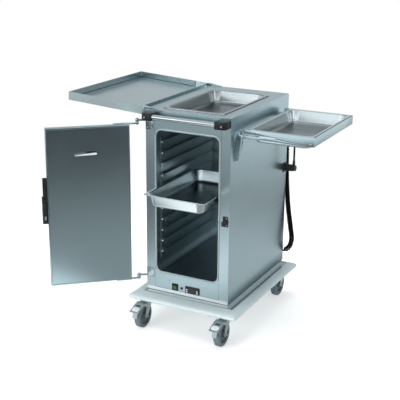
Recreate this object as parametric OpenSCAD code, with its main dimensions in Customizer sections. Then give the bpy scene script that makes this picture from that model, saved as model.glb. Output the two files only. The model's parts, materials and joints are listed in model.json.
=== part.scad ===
// Mobile hot cupboard: a heated cabinet on castors with a heated well in its top, a hinged lid,
// a folding pan holder on its right side and a curly mains cord.
// X runs to the right as seen from the front, Y to the back and Z up.
// The origin lies on the floor under the middle of the cabinet.
// The door, the lid and the middle pan stand open, as they are found in use.

/* [Cabinet] */
// Width of the posts beside the door opening
post_w = 58; // [54:1:70]
// How much deeper the cabinet is than a pan is long
cab_extra = 160; // [150:1:220]
// Height of the plinth under the cabinet
plinth_h = 21; // [16:1:40]
// Height from the cabinet's underside to the door opening
foot_h = 108; // [104:1:130]
// Height from the door opening to the serving top
head_h = 96; // [94:1:120]
// Thickness of the skin sheets
sheet = 2; // [1:0.1:3]
// Thickness of the serving top
top_t = 3; // [2:0.1:5]
// Set-back of the plinth from the skin
plinth_inset = 4; // [2:0.5:10]
// Thickness of the plinth's wall
plinth_t = 3; // [2:0.5:5]

/* [Opening and liner] */
// Height of the door opening
open_h = 716; // [600:1:760]
// Corner radius of the door opening
open_r = 30; // [20:1:40]
// Room beside a pan in the door opening
open_side = 4.5; // [3:0.5:8]
// Width of the seal round the opening
seal_w = 9; // [6:0.5:12]
// Thickness of the seal
seal_t = 6.5; // [4:0.5:9]
// Step from the opening out to the liner's wall
liner_step = 5; // [3:0.5:6]
// Thickness of the liner's wall
liner_t = 1.5; // [1:0.1:2]
// Room behind a pan that is pushed in
liner_back = 17; // [5:1:40]

/* [Runners] */
// Height of the first runner above the opening's lower edge
runner_first = 93; // [80:1:120]
// Height from one runner to the next
runner_pitch = 56.2; // [50:0.1:70]
// Thickness of the runner sheet
runner_t = 1.5; // [1:0.1:2]
// Depth of the runner's lip
runner_lip = 22; // [10:1:28]
// Front end of the runners behind the cabinet's front
runner_front = 62; // [40:1:80]
// How much shorter the runners are than a pan
runner_short = 20; // [10:1:80]
// Number of runners below the one that carries the middle pan
runner_count_below = 6; // [2:1:9]

/* [Pans] */
// Length of a pan over its rim
pan_l = 530; // [500:1:540]
// Width of a pan over its rim
pan_w = 325; // [300:1:330]
// Depth of a pan
pan_deep = 65; // [40:1:70]
// Width of a pan's rim
pan_rim = 12; // [10:0.5:15]
// Height of the turned-down edge of the rim
pan_lip = 4; // [3:0.5:6]
// Thickness of a pan's sheet
pan_t = 1.2; // [0.8:0.1:2]
// Corner radius of a pan's body
pan_r = 45; // [30:1:60]
// Corner radius of a pan's rim
rim_r = 14; // [8:1:20]
// How far a pan stands behind the front when it is pushed in
pan_in = 55; // [45:1:70]
// How far the middle pan is drawn out from there
pan_drawn = 194; // [100:1:220]

/* [Heated well] */
// Room round a pan in the well
well_room = 4; // [3:0.5:6]
// Depth of the well below the serving top
well_deep = 74; // [72:1:76]
// Set-forward of the well from the cabinet's middle
well_fwd = 29; // [0:1:40]
// Thickness of the heater pads
heater_t = 3; // [2:0.5:4]

/* [Door] */
// How far the door reaches past the opening at its free edge
door_free = 12; // [10:0.5:14]
// How far the door reaches past the opening towards its hinges
door_lap = 52; // [48:1:54]
// How far the door reaches below the opening
door_low = 46; // [40:1:50]
// How far the door reaches above the opening
door_high = 24; // [18:1:28]
// Thickness of the door
door_t = 32; // [25:1:38]
// Width of the flange round the door's inner panel
door_flange = 8; // [5:0.5:12]
// How far the door stands open
door_open = 138; // [100:1:170]

/* [Door hinges] */
// Distance of the hinge pins beside the cabinet
hinge_out = 33; // [28:1:45]
// Distance of the hinge pins before the cabinet's front
hinge_fwd = 25; // [22:1:32]
// Diameter of the hinge barrels
barrel_d = 17; // [15:0.5:19]
// Diameter of the hinge pins
pin_d = 8; // [6:0.5:10]
// Height of one half of a hinge barrel
barrel_h = 12; // [10:0.5:13]
// Thickness of the hinge arms
arm_t = 4; // [3:0.5:5]
// Width of a hinge plate
hinge_plate_w = 39; // [34:1:42]
// Height of a hinge plate
hinge_plate_h = 50; // [40:1:60]
// Thickness of the hinge plates and the keeper's foot
plate_t = 3; // [2:0.5:3.5]
// Length of the strips along the door's edges
leaf_l = 75; // [50:1:90]
// Thickness of those strips
leaf_t = 6; // [4:0.5:8]

/* [Latch] */
// Lower end of the latch body above the opening's lower edge
latch_low = 265; // [200:1:300]
// Height of the latch body
latch_h = 123; // [100:1:140]
// How far the latch reaches past the door's free edge
latch_out = 24; // [20:1:26]
// How far the latch reaches over the door
latch_over = 29; // [20:1:40]
// Thickness of the latch body
latch_t = 24; // [20:1:28]
// Length of the latch lever
latch_lever_l = 104; // [80:1:120]
// Diameter of the latch roller
roller_d = 12; // [10:0.5:13]

/* [Vent lever] */
// Distance of the vent lever's pivot from the hinge edge of the door
vent_x = 168; // [140:1:200]
// Height of the vent lever's pivot below the door's upper edge
vent_drop = 128; // [100:1:150]
// Length of the vent lever
vent_l = 96; // [60:1:110]

/* [Control panel] */
// Height of the control panel
panel_h = 97; // [92:1:99]
// How far the control panel reaches past the door opening on each side
panel_lap = 9; // [5:0.5:11]
// Height of the controls' middle above the cabinet's underside
control_z = 37; // [30:1:50]
// Distance of the rocker switch left of the middle
rocker_x = 65; // [60:1:75]
// Distance of the pilot lamp left of the middle
lamp_x = 28; // [26:1:32]
// Distance of the thermostat right of the middle
thermostat_x = 32; // [32:1:40]
// Width of the thermostat
thermostat_w = 78; // [70:1:82]
// Height of the thermostat and the switch bezel
control_h = 36; // [33:1:40]
// Width of the switch bezel
bezel_w = 34; // [32:1:38]
// Travel of a thermostat key
key_travel = 1.2; // [0.8:0.1:1.5]

/* [Push handle] */
// Diameter of the handle tube
handle_d = 25; // [20:0.5:28]
// Distance of the tube before the cabinet's front
handle_fwd = 40; // [36:1:50]
// Depth of the tube's middle below the serving top
handle_drop = 27; // [24:1:28]
// Width of a handle bracket
bracket_w = 60; // [50:1:70]
// Height of a handle bracket
bracket_h = 36; // [33:1:40]

/* [Lid] */
// How far the lid stops short of the cabinet's right side
lid_short = 28; // [20:1:40]
// Height of the lid's walls
lid_h = 41; // [30:1:50]
// Thickness of the lid's sheet
lid_t = 1.5; // [1:0.1:2]
// Thickness of the lid's floor with its inner panel
lid_floor_t = 11.5; // [4:0.5:16]
// Distance of the lid's pins beside the cabinet
lid_pin_out = 10; // [9.5:0.5:14]
// Distance from the pins to the lid's wall
lid_wall_in = 8; // [8:0.5:10]
// Height of the pins above the serving top
lid_pin_up = 6; // [5:0.5:8]
// How far the lid stands open
lid_open = 176.3; // [150:0.1:177]
// Diameter of the lid's pins
lid_pin_d = 6; // [5:0.5:7]
// Thickness of the lid's cheeks
cheek_t = 3; // [2:0.5:4]

/* [Side holder] */
// Drop of the side pan's rim below the serving top
holder_drop = 55; // [50:1:80]
// Gap from the cabinet's side to the side pan's rim
holder_out = 49; // [48:1:60]
// Set-forward of the side pan from the cabinet's middle
holder_fwd = 18; // [0:1:30]
// Room between the folded holder's pan and the cabinet's side
fold_room = 0.9; // [0.5:0.1:4]
// Height of the holder's frame
frame_h = 43; // [40:1:46]
// Thickness of the holder's frame
frame_t = 3; // [2:0.5:4]
// Diameter of the holder's pivot studs
stud_d = 8; // [6:0.5:10]
// Height of a gusset
gusset_h = 127; // [100:1:150]

/* [Base and castors] */
// How far the bumper reaches past the cabinet on each side
base_side = 72.5; // [60:0.5:95]
// How far the base is longer than the cabinet, at each end
base_ends = 57; // [50:0.5:85]
// Set-forward of the base from the cabinet's middle
base_fwd = 16; // [10:1:20]
// Height of the bumper
bumper_h = 25; // [22:1:28]
// Depth of the bumper's nose before the platform
nose = 16; // [14:1:18]
// Thickness of the platform
platform_t = 17; // [12:0.5:18]
// Width of the deck between the cabinet's sides and the bumper
deck_side = 23; // [5:1:30]
// Depth of the deck between the cabinet's back and the bumper
deck_back = 12; // [5:1:14]
// Height of a castor above its wheel
castor_head = 27; // [23:1:31]
// Diameter of the wheels
wheel_d = 125; // [115:1:125]
// Width of the wheels
wheel_w = 33; // [28:1:34]
// Diameter of the axles
axle_d = 12; // [10:0.5:14]
// Distance of the wheel's axle behind the swivel
trail = 35; // [30:1:38]
// Width of a castor plate
castor_plate_w = 100; // [90:1:110]
// Length of a castor plate
castor_plate_l = 76; // [70:1:80]
// Distance of the castor plates from the platform's sides
castor_side = 11.5; // [1:0.5:30]
// Distance of the castor plates from the platform's ends
castor_end = 1; // [0.5:0.5:20]
// Diameter of the king pins
king_d = 12; // [10:0.5:16]

/* [Clearances] */
// Gap between pieces that move past each other
gap = 0.4; // [0.3:0.05:0.6]
// Gap between pieces that are fixed in each other
slip = 0.2; // [0.1:0.05:0.3]
// Radial clearance of a pin in its bore
fit = 0.05; // [0.02:0.01:0.1]

/* [Hidden] */
$fn = 48;

// Overcut of the tools that cut through a sheet
cut = 1;

// Cabinet
open_w = pan_w + 2 * open_side;
cab_w = open_w + 2 * post_w;
cab_d = pan_l + cab_extra;
castor_h = wheel_d + castor_head;
platform_z1 = castor_h + platform_t;
cab_z = platform_z1 + plinth_h;
half_w = cab_w / 2;
front_y = -cab_d / 2;
back_y = cab_d / 2;
open_z = cab_z + foot_h;
open_top = open_z + open_h;
top_z = open_top + head_h;
liner_half = open_w / 2 + liner_step;
liner_z0 = open_z - liner_step;
liner_z1 = open_top + liner_step;
pan_back_y = front_y + pan_in + pan_l;
liner_y1 = pan_back_y + liner_back;

// Runners, as many as fit
runner_room = 40;
runner_l = pan_l - runner_short;
runner_count = floor((open_h - runner_first - runner_room) / runner_pitch) + 1;
ledge_in = pan_w / 2 - pan_rim + 2;
function runner_z(level) = open_z + runner_first + level * runner_pitch;

// Door as it stands when it is shut, turned open about its hinge pins
door_clear = 0.5;
door_y = front_y - seal_t - door_clear;
door_x0 = -open_w / 2 - door_lap;
door_x1 = open_w / 2 + door_free;
door_z0 = open_z - door_low;
door_z1 = open_top + door_high;
door_sheet = 1.5;
hinge_x = -half_w - hinge_out;
hinge_y = front_y - hinge_fwd;
leaf_z = [door_z0 - leaf_t, door_z1];

// Latch
latch_z = open_z + latch_low;
roller_z = latch_z + 30;
roller_h = 18;
roller_x = door_x1 + 13;
roller_y = door_y - roller_d / 2 - 2;
bolt_travel = 5;
latch_front = door_y - door_t - latch_t;
lever_pivot_z = latch_z + latch_h + 4;
lever_pin_d = 5;
lever_t = 8;
lever_y = door_y - door_t - latch_t / 2;

// Vent lever
vent_pivot = [door_x0 + vent_x, door_z1 - vent_drop];
vent_boss_d = 26;
vent_boss_t = 9;
vent_pin_d = 6;
vent_t = 5;

// Well
well_l = pan_l - 2 * pan_rim + 2 * well_room;
well_w = pan_w - 2 * pan_rim + 2 * well_room;
well_r = pan_r + well_room;
well_floor = top_z - well_deep;
pad_inset = 100;
pad_edge = 30;

// Lid as it stands when it is shut, turned open about its pins
lid_pin = [-half_w - lid_pin_out, top_z + lid_pin_up];
lid_x0 = lid_pin[0] + lid_wall_in;
lid_x1 = half_w - lid_short;
lid_ear_r = 8;
lid_z0 = top_z + 0.5;
lid_half = cab_d / 2;
cheek_y = lid_half - lid_t - gap - cheek_t;
cheek_in = 3;
cheek_l = 63;

// Side holder
side_x0 = half_w + holder_out;
side_mid = [side_x0 + pan_w / 2, -holder_fwd];
side_rim_z = top_z - holder_drop;
frame_lip = 3;
frame_top = side_rim_z - pan_lip - gap + frame_lip;
frame_z = frame_top - frame_h;
frame_x1 = side_x0 + pan_w + 1;
frame_y0 = side_mid[1] - pan_l / 2 - 1;
frame_y1 = side_mid[1] + pan_l / 2 + 1;
frame_ledge = 8;
pivot_up = 5;
pivot_out = frame_z + pivot_up - side_rim_z + pan_deep + fold_room;
pivot = [half_w + pivot_out, frame_z + pivot_up];
gusset_edge = 9.5;
gusset_w = pivot_out + gusset_edge;
slot_in = 8;
slot_l = 146;

// Handle
handle_y = front_y - handle_fwd;
handle_z = top_z - handle_drop;
bracket_depth = handle_fwd + handle_d / 2 + 4;

// Base
base_mid = [0, -base_fwd];
base_w = cab_w + 2 * base_side;
base_d = cab_d + 2 * base_ends;
bumper_r = bumper_h / 2 - 1;
bumper_drop = 5;
bumper_z = castor_h - bumper_drop;
platform_w = base_w - 2 * nose;
platform_d = base_d - 2 * nose;
castor_x = platform_w / 2 - castor_plate_w / 2 - castor_side;
castor_y = platform_d / 2 - castor_plate_l / 2 - castor_end;
castor_spots = [[-castor_x, base_mid[1] - castor_y], [castor_x, base_mid[1] - castor_y],
    [-castor_x, base_mid[1] + castor_y], [castor_x, base_mid[1] + castor_y]];

// Castor, upwards from the wheel
wheel_r = wheel_d / 2;
wheel_room = 2;
crown_t = 5;
crown_z = wheel_d + wheel_room;
crown_d = 58;
race_z = crown_z + crown_t + gap;
castor_plate_t = 4;
castor_plate_r = 8;
king_top = castor_h - castor_plate_t - 1;
hub_half = wheel_w / 2 + 2;
leg_in = hub_half + 0.6;
leg_t = 3;
leg_out = leg_in + leg_t;
pedal_pin = [8 - trail, wheel_r + 46];
pedal_pin_d = 6;
pedal_ear_t = 2.6;
pedal_l = 80;
pedal_bend = 26;
pedal_drop = 24;

// Controls
control_mid = cab_z + control_z;
panel_half = open_w / 2 + panel_lap;
bezel_t = 3;
control_back = 30;
rocker_pin_d = 3;
lamp_d = 12;
key_w = 7;
key_h = 5.5;
key_x = [-30, 27];
key_z = [1, -9.5];
thermostat_face = 4;
screw_d = 8;
screw_t = 1.6;

// Screw places on the front: control panel, hinge plates, keeper and handle brackets
panel_screw = [97.5, panel_h - 30];
plate_x0 = -half_w + 1;
plate_low = leaf_z[0] + barrel_h;
plate_high = leaf_z[1] + 2 * barrel_h - hinge_plate_h;
screw_edge = 9;
keeper_x0 = half_w - 33;
keeper_w = 26;
keeper_h = 50;
keeper_z = roller_z - 4;
bracket_screw = 24;

// Cord: the lead rises from the plug, turns over the hook and runs down behind the cabinet in curls.
// The points that the lead and the middle of the curls pass are counted from the cabinet's lower rear
// right corner.
function from_corner(point) = [half_w, back_y, cab_z] + point;
cord_d = 8.2;
cord_sides = 6;
lead_foot = from_corner([52, -23, 585]);
arch_z = cab_z + 677;
curl_points = [[-7, 20, 677], [-7, 20, 650], [-6, 20, 580], [-5, 21, 510], [0, 23, 410],
    [12, 25, 290], [30, 29, 170], [37, 29, 116], [26, 26, 71], [0, 24, 49], [-25, 23, 46]];
curl_route = [for (point = curl_points) from_corner(point)];
arch_r = norm([lead_foot[0] - curl_route[0][0], lead_foot[1] - curl_route[0][1]]) / 2;
curl_r = 7.6;
curl_pitch_top = 17;
curl_pitch_end = 10.9;
curl_ramp = 18;
curl_rings = 8;
gland_mouth = curl_route[len(curl_route) - 1];
plug_mid = [0, back_y - 23, cab_z + 532];
plug_d = 36;
socket_t = 10;
plug_out = 53;
hook_d = 6;
hook_t = 3;
hook_foot = 22;
hook_past = 12;
hook_tip = 14;

// Colours
steel = [0.72, 0.75, 0.79];
bright_steel = [0.84, 0.86, 0.89];
dark_steel = [0.34, 0.36, 0.4];
zinc = [0.66, 0.67, 0.68];
black = [0.08, 0.08, 0.09];
bumper_grey = [0.78, 0.79, 0.8];
tyre_grey = [0.45, 0.46, 0.48];
wool = [0.85, 0.78, 0.5];
seal_grey = [0.8, 0.82, 0.84];
lamp_green = [0.2, 0.85, 0.5];

// A box from its lowest to its highest corner
module box(low, high) {
    translate(low) cube(high - low);
}

// A rectangle with round corners about the origin
module round_rect(w, d, r) {
    square([w - 2 * r, d], center = true);
    square([w, d - 2 * r], center = true);
    for (x = [-1, 1], y = [-1, 1])
        translate([x * (w / 2 - r), y * (d / 2 - r)]) circle(r);
}

// A plate with round corners that lies level
module slab(w, d, r, z0, z1) {
    translate([0, 0, z0]) linear_extrude(z1 - z0) round_rect(w, d, r);
}

// A plate with round corners that stands upright, facing the front
module panel(w, h, r, y0, y1, z0) {
    translate([0, y1, z0 + h / 2]) rotate([90, 0, 0]) linear_extrude(y1 - y0) round_rect(w, h, r);
}

// Rods along the three axes
module rod_x(d, x0, x1, y, z) {
    translate([x0, y, z]) rotate([0, 90, 0]) cylinder(d = d, h = x1 - x0);
}

module rod_y(d, y0, y1, x, z) {
    translate([x, y1, z]) rotate([90, 0, 0]) cylinder(d = d, h = y1 - y0);
}

module rod_z(d, z0, z1, x, y) {
    translate([x, y, z0]) cylinder(d = d, h = z1 - z0);
}

// An outline in X and Z, as thick as y0 to y1
module upright(y0, y1) {
    translate([0, y1, 0]) rotate([90, 0, 0]) linear_extrude(y1 - y0) children();
}

// An outline in Y and Z, as thick as x0 to x1
module sideways(x0, x1) {
    translate([x0, 0, 0]) rotate([90, 0, 90]) linear_extrude(x1 - x0) children();
}

// Turns the shut door open about its pins
module at_door() {
    translate([hinge_x, hinge_y, 0]) rotate([0, 0, -door_open])
        translate([-hinge_x, -hinge_y, 0]) children();
}

// Turns the shut lid open about its pins
module at_lid() {
    translate([lid_pin[0], 0, lid_pin[1]]) rotate([0, -lid_open, 0])
        translate([-lid_pin[0], 0, -lid_pin[1]]) children();
}

// Pan with a flat rim, its rim's upper face at z = 0 and its length along Y
module pan() {
    body_w = pan_w - 2 * pan_rim;
    body_l = pan_l - 2 * pan_rim;
    difference() {
        union() {
            slab(pan_w, pan_l, rim_r, -pan_lip, 0);
            slab(body_w, body_l, pan_r, -pan_deep, -pan_t);
        }
        slab(body_w - 2 * pan_t, body_l - 2 * pan_t, pan_r - pan_t, pan_t - pan_deep, cut);
        difference() {
            slab(pan_w - 2 * pan_t, pan_l - 2 * pan_t, rim_r - pan_t, -pan_lip - cut, -pan_t);
            slab(body_w, body_l, pan_r, -pan_lip - 2 * cut, cut);
        }
    }
}

module base_platform() {
    color(steel) translate([base_mid[0], base_mid[1], 0])
        box([-platform_w / 2, -platform_d / 2, castor_h], [platform_w / 2, platform_d / 2, platform_z1]);
}

// Bumper with a round nose, up to the plinth at the front and open over the deck elsewhere
module bumper() {
    hole_x = half_w + deck_side;
    hole_y = [front_y + plinth_inset - 1, back_y + deck_back];
    color(bumper_grey) difference() {
        translate([base_mid[0], base_mid[1], bumper_z + bumper_h / 2]) intersection() {
            upright(-base_d / 2, base_d / 2) round_rect(base_w, bumper_h, bumper_r);
            sideways(-base_w / 2, base_w / 2) round_rect(base_d, bumper_h, bumper_r);
        }
        translate([base_mid[0], base_mid[1], 0])
            box([-platform_w / 2 - slip, -platform_d / 2 - slip, bumper_z - cut],
                [platform_w / 2 + slip, platform_d / 2 + slip, platform_z1]);
        box([-hole_x, hole_y[0], bumper_z], [hole_x, hole_y[1], bumper_z + bumper_h + cut]);
    }
}

module plinth() {
    x = half_w - plinth_inset;
    y = cab_d / 2 - plinth_inset;
    color(steel) difference() {
        box([-x, -y, platform_z1], [x, y, cab_z]);
        box([plinth_t - x, plinth_t - y, platform_z1 - cut], [x - plinth_t, y - plinth_t, cab_z + cut]);
    }
}

// Castor plates with their swivel races, bored for the king pins
module castor_plates() {
    color(zinc) for (spot = castor_spots) translate([spot[0], spot[1], 0]) difference() {
        union() {
            slab(castor_plate_w, castor_plate_l, castor_plate_r, castor_h - castor_plate_t, castor_h);
            rod_z(crown_d + 4, race_z, castor_h - castor_plate_t, 0, 0);
        }
        rod_z(king_d + 2 * fit, race_z - cut, king_top + gap, 0, 0);
    }
}

// Fork with its king pin and its axle
module castor_fork(spot) {
    leg_foot = 12;
    leg_top = 22;
    color(zinc) translate([spot[0], spot[1], 0]) {
        rod_z(king_d, crown_z, king_top, 0, 0);
        rod_z(crown_d, crown_z, crown_z + crown_t, 0, 0);
        rod_x(axle_d, -leg_in, leg_in, -trail, wheel_r);
        for (side = [0, 1]) mirror([side, 0, 0]) {
            sideways(leg_in, leg_out) {
                polygon([[leg_top, crown_z + crown_t], [-leg_top - 4, crown_z + crown_t],
                    [-trail - leg_foot, wheel_r], [leg_foot - trail, wheel_r]]);
                translate([-trail, wheel_r]) circle(leg_foot);
            }
            rod_x(leg_foot, leg_out, leg_out + 3, -trail, wheel_r);
            rod_x(pedal_pin_d, leg_out - 1, leg_out + gap + pedal_ear_t, pedal_pin[0], pedal_pin[1]);
        }
    }
}

// Wheel with a round-shouldered tyre, a web and a hub
module castor_wheel(spot) {
    shoulder = 8;
    tyre_in = wheel_r - 17;
    hub_r = 15;
    web = 6;
    half = wheel_w / 2;
    color(tyre_grey) translate([spot[0], spot[1] - trail, wheel_r]) rotate([0, 90, 0]) rotate_extrude() {
        translate([tyre_in, -half]) square([wheel_r - shoulder - tyre_in, wheel_w]);
        translate([tyre_in, shoulder - half]) square([wheel_r - tyre_in, wheel_w - 2 * shoulder]);
        for (side = [-1, 1]) translate([wheel_r - shoulder, side * (half - shoulder)]) circle(shoulder);
        translate([hub_r - 1, -web]) square([tyre_in - hub_r + 2, 2 * web]);
        translate([axle_d / 2 + fit, -hub_half]) square([hub_r - axle_d / 2 - fit, 2 * hub_half]);
    }
}

// Brake pedal of a front castor: a tread over the tyre, a release tab below it, and ears on the fork's pins
module brake_pedal(spot) {
    pedal_w = 2 * (leg_out + gap + pedal_ear_t);
    pedal_t = 5;
    root = [-trail - 8, wheel_d + 7];
    tread = [root, root - [pedal_bend, 3], root - [pedal_l, pedal_drop]];
    lift = [0, pedal_t];
    color(zinc) translate([spot[0], spot[1], 0]) difference() {
        union() {
            sideways(-pedal_w / 2, pedal_w / 2)
                polygon([tread[0], tread[0] + lift, tread[1] + lift, tread[2] + lift, tread[2], tread[1]]);
            sideways(-pedal_w / 4, pedal_w / 4)
                polygon([tread[2] + [14, 6], tread[2] + [4, -32], tread[2] + [8, -33], tread[2] + [19, 7]]);
            for (side = [0, 1]) mirror([side, 0, 0]) sideways(leg_out + gap, leg_out + gap + pedal_ear_t) {
                translate(pedal_pin) circle(8);
                polygon([pedal_pin - [7, 0], pedal_pin + [7, 0], tread[0] + lift / 2, tread[1] + lift / 2]);
            }
        }
        rod_x(pedal_pin_d + 2 * fit, -pedal_w, pedal_w, pedal_pin[0], pedal_pin[1]);
    }
}

module outer_shell() {
    color(steel) difference() {
        box([-half_w, front_y + sheet, cab_z], [half_w, back_y, top_z - top_t]);
        box([sheet - half_w, front_y, cab_z + sheet], [half_w - sheet, back_y - sheet, top_z]);
    }
}

module front_frame() {
    color(bright_steel) difference() {
        box([-half_w, front_y, cab_z], [half_w, front_y + sheet, top_z - top_t]);
        panel(open_w, open_h, open_r, front_y - cut, front_y + sheet + cut, open_z);
        box([-panel_half - slip, front_y - cut, cab_z - cut],
            [panel_half + slip, front_y + sheet + cut, cab_z + panel_h + slip]);
    }
}

module top_plate() {
    color(steel) difference() {
        slab(cab_w, cab_d, 6, top_z - top_t, top_z);
        translate([0, -well_fwd, 0]) slab(well_w, well_l, well_r, top_z - top_t - cut, top_z + cut);
    }
}

// Tub under the serving top, with a flange against it
module well_tub() {
    flange = 8;
    color(steel) translate([0, -well_fwd, 0]) difference() {
        union() {
            slab(well_w + 2 * liner_t, well_l + 2 * liner_t, well_r + liner_t, well_floor, top_z - top_t);
            slab(well_w + 2 * flange, well_l + 2 * flange, well_r + flange, top_z - top_t - liner_t,
                top_z - top_t);
        }
        slab(well_w, well_l, well_r, well_floor + liner_t, top_z);
    }
}

module inner_liner() {
    r = open_r + liner_step;
    w = 2 * liner_half;
    h = liner_z1 - liner_z0;
    y0 = front_y + sheet;
    color(dark_steel) difference() {
        panel(w + 2 * liner_t, h + 2 * liner_t, r + liner_t, y0, liner_y1 + liner_t, liner_z0 - liner_t);
        panel(w, h, r, y0 - cut, liner_y1, liner_z0);
    }
}

// Runner walls on both sides, each with its ledges turned down at the inner edge
module runners() {
    wall_x = liner_half - runner_t;
    y0 = front_y + runner_front;
    wall_low = runner_z(0) - 2 * runner_lip;
    wall_high = runner_z(runner_count - 1) + 10;
    color(steel) for (side = [0, 1]) mirror([side, 0, 0]) {
        box([wall_x, y0 - 14, wall_low], [liner_half, y0 + runner_l, wall_high]);
        for (level = [0 : runner_count - 1]) {
            z = runner_z(level);
            box([ledge_in, y0, z - runner_t], [wall_x + cut / 2, y0 + runner_l, z]);
            box([ledge_in, y0, z - runner_lip], [ledge_in + runner_t, y0 + runner_l, z - runner_t / 2]);
            rod_x(8, wall_x - 4, wall_x + cut / 2, y0 - 7, z - 10);
        }
    }
}

// Mineral wool round the liner, with a hollow for the heater under the liner's floor
module insulation() {
    low = [sheet + slip - half_w, front_y + sheet + slip, cab_z + panel_h + 2];
    high = [half_w - sheet - slip, back_y - sheet - slip, well_floor - heater_t - slip];
    hollow = liner_half + liner_t + slip;
    hollow_low = liner_z0 - liner_t - slip;
    hollow_high = liner_z1 + liner_t + slip;
    color(wool) difference() {
        box(low, high);
        box([-hollow, front_y, hollow_low], [hollow, liner_y1 + liner_t + slip, hollow_high]);
        box([-hollow / 2 - slip, front_y + pad_inset - cut, hollow_low - heater_t - slip],
            [hollow / 2 + slip, liner_y1 - pad_inset + cut, hollow_low + cut]);
    }
}

// Heater pads under the well and under the liner's floor
module heater_pads() {
    z1 = liner_z0 - liner_t;
    color(black) {
        translate([0, -well_fwd, 0])
            slab(well_w - 2 * pad_edge, well_l - 2 * pad_edge, well_r, well_floor - heater_t, well_floor);
        box([-liner_half / 2, front_y + pad_inset, z1 - heater_t],
            [liner_half / 2, liner_y1 - pad_inset, z1]);
    }
}

module opening_seal() {
    color(seal_grey) difference() {
        panel(open_w + 2 * seal_w, open_h + 2 * seal_w, open_r + seal_w, front_y - seal_t, front_y,
            open_z - seal_w);
        panel(open_w, open_h, open_r, front_y - seal_t - cut, front_y + cut, open_z);
    }
}

module control_panel() {
    color(bright_steel) difference() {
        box([-panel_half, front_y, cab_z + slip], [panel_half, front_y + sheet, cab_z + panel_h]);
        box([-rocker_x - bezel_w / 2 + 3, front_y - cut, control_mid - control_h / 2 + 3],
            [-rocker_x + bezel_w / 2 - 3, front_y + sheet + cut, control_mid + control_h / 2 - 3]);
        rod_y(lamp_d - 3, front_y - cut, front_y + sheet + cut, -lamp_x, control_mid);
        box([thermostat_x - thermostat_w / 2 + 3, front_y - cut, control_mid - control_h / 2 + 3],
            [thermostat_x + thermostat_w / 2 - 3, front_y + sheet + cut, control_mid + control_h / 2 - 3]);
    }
}

// Round-headed screws on the front: control panel, hinge plates, keeper and handle brackets
module front_screws() {
    color(bright_steel) {
        for (side = [-1, 1])
            rod_y(screw_d, front_y - screw_t, front_y, side * panel_screw[0], cab_z + panel_screw[1]);
        for (z = [plate_low, plate_high], i = [0, 1], j = [0, 1])
            rod_y(screw_d - 1, front_y - plate_t - screw_t, front_y - plate_t,
                plate_x0 + screw_edge + i * (hinge_plate_w - 2 * screw_edge),
                z + screw_edge + j * (hinge_plate_h - 2 * screw_edge));
        for (i = [0, 1])
            rod_y(screw_d - 1, front_y - plate_t - screw_t, front_y - plate_t, keeper_x0 + keeper_w - 7,
                keeper_z + 8 + i * (keeper_h - 16));
        for (side = [-1, 1])
            rod_y(screw_d, front_y - bracket_depth - screw_t, front_y - bracket_depth,
                side * (half_w - bracket_screw), handle_z - 3);
    }
}

module switch_bezel() {
    inner = [bezel_w - 8, control_h - 8];
    color(black) translate([-rocker_x, 0, control_mid]) difference() {
        union() {
            panel(bezel_w, control_h, 3, front_y - bezel_t, front_y, -control_h / 2);
            box([-bezel_w / 2 + 3 + slip, front_y - cut / 2, -control_h / 2 + 3 + slip],
                [bezel_w / 2 - 3 - slip, front_y + control_back, control_h / 2 - 3 - slip]);
        }
        box([-inner[0] / 2, front_y - bezel_t - cut, -inner[1] / 2],
            [inner[0] / 2, front_y + control_back - 4, inner[1] / 2]);
        rod_x(rocker_pin_d + 2 * fit, -bezel_w / 2 + 3.5, bezel_w / 2 - 3.5, front_y + 6, 0);
    }
}

// Rocker that tilts about a pin through its bezel
module rocker_switch() {
    w = bezel_w - 8 - 2 * gap;
    h = control_h - 8 - 4;
    dip = front_y - bezel_t;
    color(lamp_green) translate([-rocker_x, 0, control_mid]) {
        sideways(-w / 2, w / 2)
            polygon([[dip - 6, h / 2], [dip - 2.5, 0], [dip - 1, -h / 2], [front_y + 8, -h / 2 + 5],
                [front_y + 8, h / 2 - 5]]);
        rod_x(rocker_pin_d, -w / 2 - 0.6, w / 2 + 0.6, front_y + 6, 0);
    }
}

module pilot_lamp() {
    color(lamp_green) translate([-lamp_x, 0, control_mid]) {
        rod_y(lamp_d, front_y - 2, front_y, 0, 0);
        rod_y(lamp_d - 3 - 2 * slip, front_y - cut / 2, front_y + 18, 0, 0);
        difference() {
            translate([0, front_y - 1, 0]) sphere(lamp_d / 2 - 1.5);
            box([-lamp_d, front_y - 1.5, -lamp_d], [lamp_d, front_y + lamp_d, lamp_d]);
        }
    }
}

// Thermostat with pockets for its keys, and its probe through the liner's back wall
module thermostat() {
    color(black) {
        translate([thermostat_x, 0, control_mid]) difference() {
            union() {
                panel(thermostat_w, control_h, 3, front_y - thermostat_face, front_y, -control_h / 2);
                box([-thermostat_w / 2 + 3 + slip, front_y - cut / 2, -control_h / 2 + 3 + slip],
                    [thermostat_w / 2 - 3 - slip, front_y + 2 * control_back, control_h / 2 - 3 - slip]);
            }
            for (x = key_x, z = key_z)
                box([x - key_w / 2 - gap, front_y - thermostat_face - cut, z - key_h / 2 - gap],
                    [x + key_w / 2 + gap, front_y + 4, z + key_h / 2 + gap]);
        }
        rod_y(6, liner_y1 - 60, liner_y1, liner_half / 2, liner_z1 - 40);
    }
}

// One key of the thermostat, seated in its pocket on a short stem
module thermostat_key(number) {
    x = thermostat_x + key_x[floor(number / 2)];
    z = control_mid + key_z[number % 2];
    face = front_y - thermostat_face;
    color("white") {
        box([x - key_w / 2, face - key_travel - 0.3, z - key_h / 2],
            [x + key_w / 2, face + 2, z + key_h / 2]);
        rod_y(3, face + cut, front_y + 4 - key_travel - gap, x, z);
    }
}

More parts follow.
